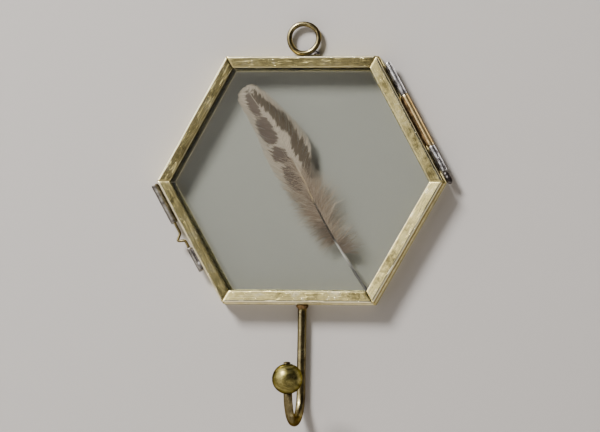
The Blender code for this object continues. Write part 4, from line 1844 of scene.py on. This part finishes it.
@dataclass
class Feather:
    """A small body feather between the panes.

    Attributes:
        shaft: Points of the shaft as across and up, in millimetres from the hexagon's middle, root first.
        left: Widths of the left side as distance along the shaft and width, in millimetres.
        right: The same for the right side.
        bars: The dark marks.
        left_down: The left side's down.
        right_down: The right side's down.
        vane_from: Where the vane starts, in millimetres along the shaft.
        vane_firm: Over what length it grows firm.
        tip: Where the vane ends.
        depth: How far behind the plane where the halves meet the feather lies.
    """

    shaft: tuple[tuple[float, float], ...] = (
        (29.9, -48.0), (28.5, -45.9), (24.7, -40.5), (20.9, -34.7), (17.1, -28.7), (13.6, -23.5),
        (10.2, -17.4), (7.0, -11.3), (4.4, -6.5), (1.8, -0.3), (-1.7, 5.8), (-4.5, 11.0),
        (-7.7, 16.2), (-10.6, 20.8), (-13.8, 25.4), (-17.2, 29.7), (-20.8, 34.3), (-24.3, 39.4),
    )
    left: Widths = (
        (40.0, 8.0), (46.0, 9.6), (50.3, 10.2), (58.0, 10.9), (64.1, 10.7), (69.3, 10.3), (74.3, 10.0),
        (78.7, 9.1), (84.5, 8.2), (89.0, 7.5), (94.3, 6.7), (98.0, 6.5), (101.0, 5.8), (102.8, 4.4),
        (103.9, 0.6),
    )
    right: Widths = (
        (44.0, 3.6), (52.9, 3.6), (56.6, 4.0), (59.5, 5.4), (63.2, 7.8), (67.1, 9.5), (71.1, 10.2),
        (76.4, 9.8), (81.0, 9.0), (86.2, 8.0), (91.6, 7.1), (97.3, 6.1), (101.1, 4.7), (102.8, 3.2),
        (103.9, 0.6),
    )
    bars: tuple[Bar, ...] = (
        Bar(((100.9, 0.6, 1.2), (97.1, 1.2, 2.0), (93.3, 2.2, 2.1), (90.8, 2.5, 1.2))),
        Bar(((86.6, 3.0, 2.8), (82.4, 3.6, 3.3), (78.6, 3.9, 2.9))),
        Bar(((72.9, 5.2, 2.0), (70.4, 4.3, 2.9), (67.9, 3.0, 2.1))),
        Bar(((62.8, 3.8, 2.6), (59.6, 3.9, 3.1), (56.4, 3.8, 2.7), (53.3, 3.9, 2.2))),
        Bar((
            (99.7, -1.9, 0.9), (96.0, -2.1, 1.4), (91.6, -2.7, 1.8), (87.6, -3.9, 2.0), (84.1, -4.3, 2.4),
            (80.0, -4.8, 2.6), (76.4, -5.8, 2.0), (74.0, -5.5, 1.6), (71.5, -5.0, 2.6), (68.2, -4.8, 3.0),
            (64.6, -5.0, 2.5), (61.4, -4.4, 2.3), (57.5, -2.9, 1.6),
        )),
    )
    left_down: tuple[Tuft, ...] = (
        Tuft(48.0, 66.0, 0.80, 11.0, 0.40, 300),
        Tuft(34.0, 50.0, 0.66, 11.5, 0.46, 460),
        Tuft(25.5, 36.0, 0.16, 8.6, 0.66, 210),
    )
    right_down: tuple[Tuft, ...] = (
        Tuft(44.0, 58.0, 1.08, 9.0, 0.36, 230),
        Tuft(33.0, 48.0, 0.90, 13.5, 0.42, 290),
        Tuft(24.0, 34.0, 0.62, 11.5, 0.46, 95),
        Tuft(20.0, 26.0, -0.05, 10.5, 0.72, 110),
    )
    vane_from: float = 42.0
    vane_firm: float = 15.0
    tip: float = 103.9
    depth: float = 0.2 * MM

    def __post_init__(self) -> None:
        """Lay out the shaft as even points."""
        middle = HEXAGON.middle
        knots = [middle + Vector((x * MM, self.depth, z * MM)) for x, z in self.shaft]
        rough = self._evenly(knots, 240)
        for _ in range(220):
            inner = [(rough[k - 1] + rough[k] * 2.0 + rough[k + 1]) / 4.0 for k in range(1, len(rough) - 1)]
            rough = [rough[0], *inner, rough[-1]]
        self.curve = rough
        self.length = sum((b - a).length for a, b in zip(rough, rough[1:]))

    @staticmethod
    def _evenly(knots: list[Vector], count: int) -> list[Vector]:
        """Even points along straight runs between knots.

        Args:
            knots: The corner points.
            count: How many steps.

        Returns:
            The points.
        """
        travel = [0.0]
        for a, b in zip(knots, knots[1:]):
            travel.append(travel[-1] + (b - a).length)
        found = []
        for k in range(count + 1):
            want = travel[-1] * k / count
            n = 1
            while n < len(knots) - 1 and travel[n] < want:
                n += 1
            share = (want - travel[n - 1]) / (travel[n] - travel[n - 1])
            found.append(knots[n - 1].lerp(knots[n], min(1.0, share)))
        return found

    def _at(self, distance: float) -> tuple[Vector, Vector, Vector]:
        """The place, direction and left-hand side of the shaft, past its tip too.

        Args:
            distance: Along the shaft, in millimetres.

        Returns:
            The place, the direction, and the side.
        """
        last = len(self.curve) - 1
        place = distance * MM / self.length * last
        k = max(0, min(last - 1, int(place)))
        a, b = self.curve[k], self.curve[k + 1]
        point = a + (b - a) * (place - k)
        ahead = self.curve[min(last, k + 6)] - self.curve[max(0, k - 6)]
        along = ahead.normalized()
        return point, along, Vector((-along.z, 0.0, along.x))

    def _radius(self, share: float) -> float:
        """The shaft's radius at a share of its length."""
        return (0.10 + 0.60 * (1.0 - min(1.0, share)) ** 1.7) * MM

    @staticmethod
    def _width(widths: Widths, distance: float) -> float:
        """A side's width in millimetres at a distance in millimetres."""
        if distance <= widths[0][0]:
            return widths[0][1]
        for (a, wide_a), (b, wide_b) in zip(widths, widths[1:]):
            if distance <= b:
                share = (distance - a) / (b - a)
                return wide_a + (wide_b - wide_a) * share
        return widths[-1][1]

    def build(self) -> None:
        """Make the shaft, both sides of the vane, and the down."""
        self._shaft()
        self._vane("left", self.left, 1.0, 81)
        self._vane("right", self.right, -1.0, 82)
        self._down("left", self.left_down, 1.0, 83)
        self._down("right", self.right_down, -1.0, 84)

    def _shaft(self) -> None:
        """Make the quill and shaft."""
        count = len(self.curve) - 1
        path = [p.copy() for p in self.curve[: count - 6]]
        radii = [self._radius(k / count) for k in range(len(path))]
        radii[0] *= 0.35
        radii[1] *= 0.75
        wire = Wire(path, radii, Vector((0.0, 1.0, 0.0)), 16, rough=0.008 * MM, seed=91.0)
        wire.skin("share").piece("feather_quill.shaft", SHAFT, Body.BACK, "feather_quill")

    def _dark(self, distance: float, offset: float) -> float:
        """How dark the vane is at a place.

        Args:
            distance: Along the shaft, in millimetres.
            offset: Across it, in millimetres.

        Returns:
            A value from 0 to 1.
        """
        deepest = max(bar.depth(distance, offset) for bar in self.bars)
        ragged = 0.75 * noise.noise(Vector((distance * 0.55, offset * 0.8, 3.0)))
        return max(0.0, min(1.0, 0.5 + (deepest + ragged) * 0.36))

    def _vane(self, name: str, widths: Widths, hand: float, seed: int) -> None:
        """Make one side of the vane from its barbs.

        Args:
            name: The side's name.
            widths: Its widths.
            hand: 1 for the left side, -1 for the right.
            seed: A number that picks its irregularities.
        """
        chance = random.Random(seed)
        barbs = Barbs()
        root = self.vane_from
        split = 0.0
        while root < self.tip - 0.5:
            firm = max(0.0, min(1.0, (root - self.vane_from) / self.vane_firm))
            split = split * 0.80 + chance.gauss(0.0, 0.11) * (1.8 - firm)
            self._barb(barbs, root, widths, hand, split, firm, chance)
            root += 0.15 + 0.10 * (1.0 - firm) if root < self.tip - 5.0 else 0.05
        barbs.piece(f"feather_vane_{name}.barbs", VANE, f"feather_vane_{name}")

    def _barb(
        self,
        barbs: Barbs,
        root: float,
        widths: Widths,
        hand: float,
        split: float,
        firm: float,
        chance: random.Random,
    ) -> None:
        """Add one barb, a thin curved blade from the shaft to the vane's edge.

        Args:
            barbs: The blades made so far.
            root: Where the barb starts, in millimetres along the shaft.
            widths: The side's widths.
            hand: 1 for the left side, -1 for the right.
            split: How far it strays forwards.
            firm: 1 where the vane is firm, 0 where it is loose.
            chance: The source of irregularity.
        """
        steps = 12
        run = min(3.2 + 0.85 * self._width(widths, root), 0.25 + 0.66 * (self.tip - root))
        loose = 1.0 - firm
        reach = 1.0 + chance.uniform(-0.04, 0.01) - loose * chance.uniform(0.0, 0.35)
        lift = chance.uniform(-0.06, 0.06) + loose * chance.uniform(-0.5, 0.4)
        stray = 1.7 * noise.noise(Vector((root * 0.8, hand, 5.0))) + chance.gauss(0.0, 0.5)
        aside = 1.5 * noise.noise(Vector((root * 0.6, hand, 9.0))) + chance.gauss(0.0, 0.22)
        base = 0.28 + 0.34 * chance.random()
        tone = chance.random()
        spine: list[Vector] = []
        reaches: list[Vector] = []
        bars: list[float] = []
        for k in range(steps + 1):
            u = k / steps
            forward = root + run * (0.62 * u + 0.38 * u * u) + split * u * u * 2.0
            forward = min(forward, self.tip - 0.05)
            offset = 0.5 * self._radius(forward * MM / self.length) / MM * (1.0 - u)
            offset += self._width(widths, forward) * reach * u**0.93
            point, along, side = self._at(forward)
            crown = 0.34 * math.sin(math.pi * min(1.0, offset / 9.0)) - 0.16
            y = max(-0.70, min(0.55, -crown + 0.04 * math.sin(root * 7.0) + lift * u * u))
            spine.append(point + side * hand * offset * MM + Vector((0.0, y * MM, 0.0)))
            half = 0.17 * (1.0 - 0.6 * u**3) * (1.0 - 0.45 * loose * u)
            reaches.append(along * half * MM + Vector((0.0, 0.05 * MM, 0.0)))
            bars.append(self._dark(forward + stray, hand * offset + aside) * firm + loose * base)
        # The left side takes mostly the painted shaded bar colour, the right side the lit one.
        barbs.blade(spine, reaches, bars, 0.85 if hand > 0 else 0.0, tone)

    def _down(self, name: str, tufts: tuple[Tuft, ...], hand: float, seed: int) -> None:
        """Make the loose down on one side, as fine waving strands.

        Args:
            name: The side's name.
            tufts: The stretches of down.
            hand: 1 for the left side, -1 for the right.
            seed: A number that picks the strands.
        """
        chance = random.Random(seed)
        barbs = Barbs()
        for tuft in tufts:
            for n in range(tuft.count):
                share = (n + chance.random()) / tuft.count
                self._strand(barbs, tuft, tuft.low + (tuft.high - tuft.low) * share, hand, chance)
        barbs.piece(f"feather_down_{name}.strands", DOWN, f"feather_down_{name}")

    def _strand(self, barbs: Barbs, tuft: Tuft, root: float, hand: float, chance: random.Random) -> None:
        """Add one strand of down.

        Args:
            barbs: The blades made so far.
            tuft: The stretch of down that it is in.
            root: Where it starts, in millimetres along the shaft.
            hand: 1 for the left side, -1 for the right.
            chance: The source of irregularity.
        """
        steps = 9
        point, along, side = self._at(root)
        place = point.copy()
        lean = tuft.lean + chance.gauss(0.0, 0.20)
        heading = side * hand * math.cos(lean) + along * math.sin(lean)
        reach = tuft.reach * (1.08 - 0.75 * chance.random() ** 1.2)
        depth = chance.uniform(-0.55, 0.45) * MM
        curl = chance.gauss(-0.01, 0.05)
        wave = chance.uniform(0.0, 6.28)
        dark = max(0.0, min(1.0, tuft.dark + chance.gauss(0.0, 0.12)))
        spine: list[Vector] = []
        reaches: list[Vector] = []
        for k in range(steps + 1):
            u = k / steps
            turn = curl + 0.10 * math.sin(wave + u * 6.0)
            heading = Matrix.Rotation(hand * turn, 3, "Y") @ heading
            if k:
                place = place + heading * (reach / steps * MM)
            spine.append(Vector((place.x, point.y + depth * min(1.0, 2.5 * u), place.z)))
            normal = heading.cross(Vector((0.0, 1.0, 0.0))).normalized()
            thick = 0.075 * MM * (1.0 - 0.8 * u)
            reaches.append(normal * thick + Vector((0.0, 0.3 * thick, 0.0)))
        # Down takes the lit and the painted shaded bar colour half and half.
        barbs.blade(spine, reaches, [dark] * (steps + 1), 0.5, chance.random())


# ---------------------------------------------------------------- studio


@dataclass
class Studio:
    """A plain pale wall behind the frame, a floor well under it, soft light and the camera.

    Attributes:
        wall_colour: The wall's colour.
        floor_colour: The floor's colour.
        azimuth_deg: How far the camera stands to the right.
        elevation_deg: How far it stands above.
        roll_deg: How far it is rolled.
        distance: How far away it stands.
        view_width: The width that it sees at the frame.
        aim: Where it looks, from the hexagon's middle.
        window: The direction that the room is brightest in.
        behind: The direction of the weaker light at the back.
        backdrop: What is seen past the wall.
        sky_power: How bright the room looks in the metal.
        sky_fill: How much it lights matt things.
        dark: The room's colour away from its lights.
        bright: The room's colour at its brightest.
        dim: The colour of the weaker light.
        half_wide: Half the wall's width.
        above: How far the wall reaches over the frame.
        ground: The floor's height.
        behind_back: The gap between the frame's back and the wall.
        near: How near the wall is mirrored as if it weren't there.
    """

    wall_colour: Colour = (0.56, 0.53, 0.505)
    floor_colour: Colour = (0.60, 0.57, 0.54)
    azimuth_deg: float = 10.0
    elevation_deg: float = -4.31
    roll_deg: float = 0.953
    distance: float = 1.6
    view_width: float = 0.2550
    aim: Place = (0.77 * MM, -4.55 * MM, -15.81 * MM)
    window: Place = (-0.68, -0.57, 0.46)
    behind: Place = (0.30, 0.85, 0.42)
    backdrop: Colour = (0.42, 0.41, 0.395)
    sky_power: float = 1.15
    sky_fill: float = 0.15
    dark: Colour = (0.028, 0.027, 0.026)
    bright: Colour = (3.0, 2.96, 2.89)
    dim: Colour = (0.70, 0.69, 0.68)
    half_wide: float = 0.42
    above: float = 0.30
    ground: float = -0.36
    behind_back: float = 0.25 * MM
    near: float = 8.0 * MM

    def build(self) -> None:
        """Make the stage, the light and the camera."""
        self._wall()
        self._floor()
        self._sky()
        self._lamp("key", (-0.72, -0.95, 0.95), 0.46, 38.0, (1.0, 0.99, 0.975))
        self._lamp("back", (0.85, 1.15, 0.75), 1.0, 9.0, (1.0, 1.0, 1.0))
        self._camera()

    def _sheet(self, name: str, corners: list[Place], material: bpy.types.Material) -> None:
        """Make one flat sheet of the stage.

        Args:
            name: The sheet's name.
            corners: Its corners.
            material: Its material.
        """
        mesh = bpy.data.meshes.new(name)
        mesh.from_pydata(corners, [], [(0, 1, 2, 3)])
        mesh.materials.append(material)
        made = bpy.data.objects.new(name, mesh)
        bpy.context.scene.collection.objects.link(made)
        made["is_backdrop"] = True

    def _wall(self) -> None:
        """Make the wall, which lets light and sight through from behind, so that the back shows."""
        _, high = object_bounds()
        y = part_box("back_rail_top")[1].y + self.behind_back
        material, g, shader = new_material("studio_wall")
        shader.inputs["Base Color"].default_value = (*self.wall_colour, 1.0)
        shader.inputs["Roughness"].default_value = 0.9
        clear = g.node("ShaderNodeBsdfTransparent")
        mixed = g.node("ShaderNodeMixShader")
        rays = g.node("ShaderNodeLightPath")
        glossy, passed = rays.outputs["Is Glossy Ray"], rays.outputs["Is Transmission Ray"]
        near = g.maths("LESS_THAN", rays.outputs["Ray Length"], self.near)
        mirrored = g.maths("MULTIPLY", near, g.maths("SUBTRACT", glossy, passed, clamp=True))
        see_past = g.maths("MAXIMUM", mirrored, rays.outputs["Is Shadow Ray"])
        behind = g.node("ShaderNodeNewGeometry").outputs["Backfacing"]
        g.join(g.maths("MAXIMUM", behind, see_past), mixed.inputs[0])
        g.join(shader.outputs["BSDF"], mixed.inputs[1])
        g.join(clear.outputs["BSDF"], mixed.inputs[2])
        g.join(mixed.outputs["Shader"], g.tree.nodes["Material Output"].inputs["Surface"])
        wide, low, top = self.half_wide, self.ground, high.z + self.above
        corners = [(-wide, y, low), (wide, y, low), (wide, y, top), (-wide, y, top)]
        self._sheet("studio_wall", corners, material)

    def _floor(self) -> None:
        """Make the floor."""
        material, _, shader = new_material("studio_floor")
        shader.inputs["Base Color"].default_value = (*self.floor_colour, 1.0)
        shader.inputs["Roughness"].default_value = 0.85
        reach, z = 4.0, self.ground
        corners = [(-reach, -reach, z), (reach, -reach, z), (reach, reach, z), (-reach, reach, z)]
        self._sheet("studio_floor", corners, material)

    def _towards(self, g: Graph, way: Socket, aim: Place, low: float, high: float) -> Socket:
        """How nearly a direction points at an aim.

        Args:
            g: The world's graph.
            way: The direction.
            aim: The aim.
            low: The cosine at which the result leaves 0.
            high: The cosine at which it reaches 1.

        Returns:
            A value from 0 to 1.
        """
        made = g.node("ShaderNodeVectorMath", operation="DOT_PRODUCT")
        g.join(way, made.inputs[0])
        made.inputs[1].default_value = Vector(aim).normalized()
        return g.span(made.outputs["Value"], low, high)

    def _sky(self) -> None:
        """Light the scene from all round, most of all from the room's bright side and a little from behind.

        The eye sees a plain backdrop instead, straight on or through the panes.
        """
        world = bpy.data.worlds.new("studio_sky")
        bpy.context.scene.world = world
        world.use_nodes = True
        g = Graph(world.node_tree)
        back = g.tree.nodes["Background"]
        way = g.node("ShaderNodeTexCoord").outputs["Generated"]
        rays = g.node("ShaderNodeLightPath")
        room = g.blend(self._towards(g, way, self.window, 0.70, 0.90), self.dark, self.bright)
        room = g.blend(self._towards(g, way, self.behind, 0.60, 0.95), room, self.dim)
        split = g.node("ShaderNodeSeparateXYZ")
        g.join(way, split.inputs[0])
        backwards = g.maths("GREATER_THAN", split.outputs["Y"], 0.0)
        through = g.maths("MULTIPLY", rays.outputs["Is Transmission Ray"], backwards)
        plain = g.maths("MAXIMUM", rays.outputs["Is Camera Ray"], through)
        g.join(g.blend(plain, room, self.backdrop), back.inputs["Color"])
        power = g.span(rays.outputs["Is Glossy Ray"], 0.0, 1.0, self.sky_fill, self.sky_power)
        dimmed = g.maths("MULTIPLY", power, g.maths("SUBTRACT", 1.0, plain))
        g.join(g.maths("ADD", dimmed, plain), back.inputs["Strength"])

    def _lamp(self, name: str, place: Place, size: float, power: float, colour: Colour) -> None:
        """Add a round soft light that faces the frame.

        Args:
            name: The light's name.
            place: Where it stands, from the hexagon's middle.
            size: How far across it is.
            power: Its power in watts.
            colour: Its colour.
        """
        data = bpy.data.lights.new(name, "AREA")
        data.shape = "DISK"
        data.size = size
        data.energy = power
        data.color = colour
        lamp = bpy.data.objects.new(name, data)
        bpy.context.scene.collection.objects.link(lamp)
        lamp.location = HEXAGON.middle + Vector(place)
        lamp.rotation_mode = "QUATERNION"
        lamp.rotation_quaternion = (-Vector(place)).to_track_quat("-Z", "Y")

    def _camera(self) -> None:
        """Set the camera."""
        data = bpy.data.cameras.new("camera")
        data.sensor_width = 36.0
        data.lens = data.sensor_width * self.distance / self.view_width
        data.clip_start = 0.05
        data.clip_end = 20.0
        camera = bpy.data.objects.new("camera", data)
        bpy.context.scene.collection.objects.link(camera)
        az, el, roll = (math.radians(v) for v in (self.azimuth_deg, self.elevation_deg, self.roll_deg))
        back = Vector((math.sin(az) * math.cos(el), -math.cos(az) * math.cos(el), math.sin(el)))
        right = Vector((math.cos(az), math.sin(az), 0.0))
        up = back.cross(right)
        x = right * math.cos(roll) + up * math.sin(roll)
        y = up * math.cos(roll) - right * math.sin(roll)
        turn = Matrix((x, y, back)).transposed().to_4x4()
        place = HEXAGON.middle + Vector(self.aim) + back * self.distance
        camera.matrix_world = Matrix.Translation(place) @ turn
        bpy.context.scene.camera = camera


def main() -> None:
    """Build every sub-assembly in order."""
    logging.basicConfig(level=logging.INFO, format="%(name)s: %(message)s")
    FrameHalf(Half.BACK, face=6.4 * MM).build()
    FrameHalf(Half.DOOR).build()
    Hinge().build()
    Latch().build()
    HangingRing().build()
    Hook().build()
    Feather().build()
    Studio().build()


if __name__ == "__main__":
    main()
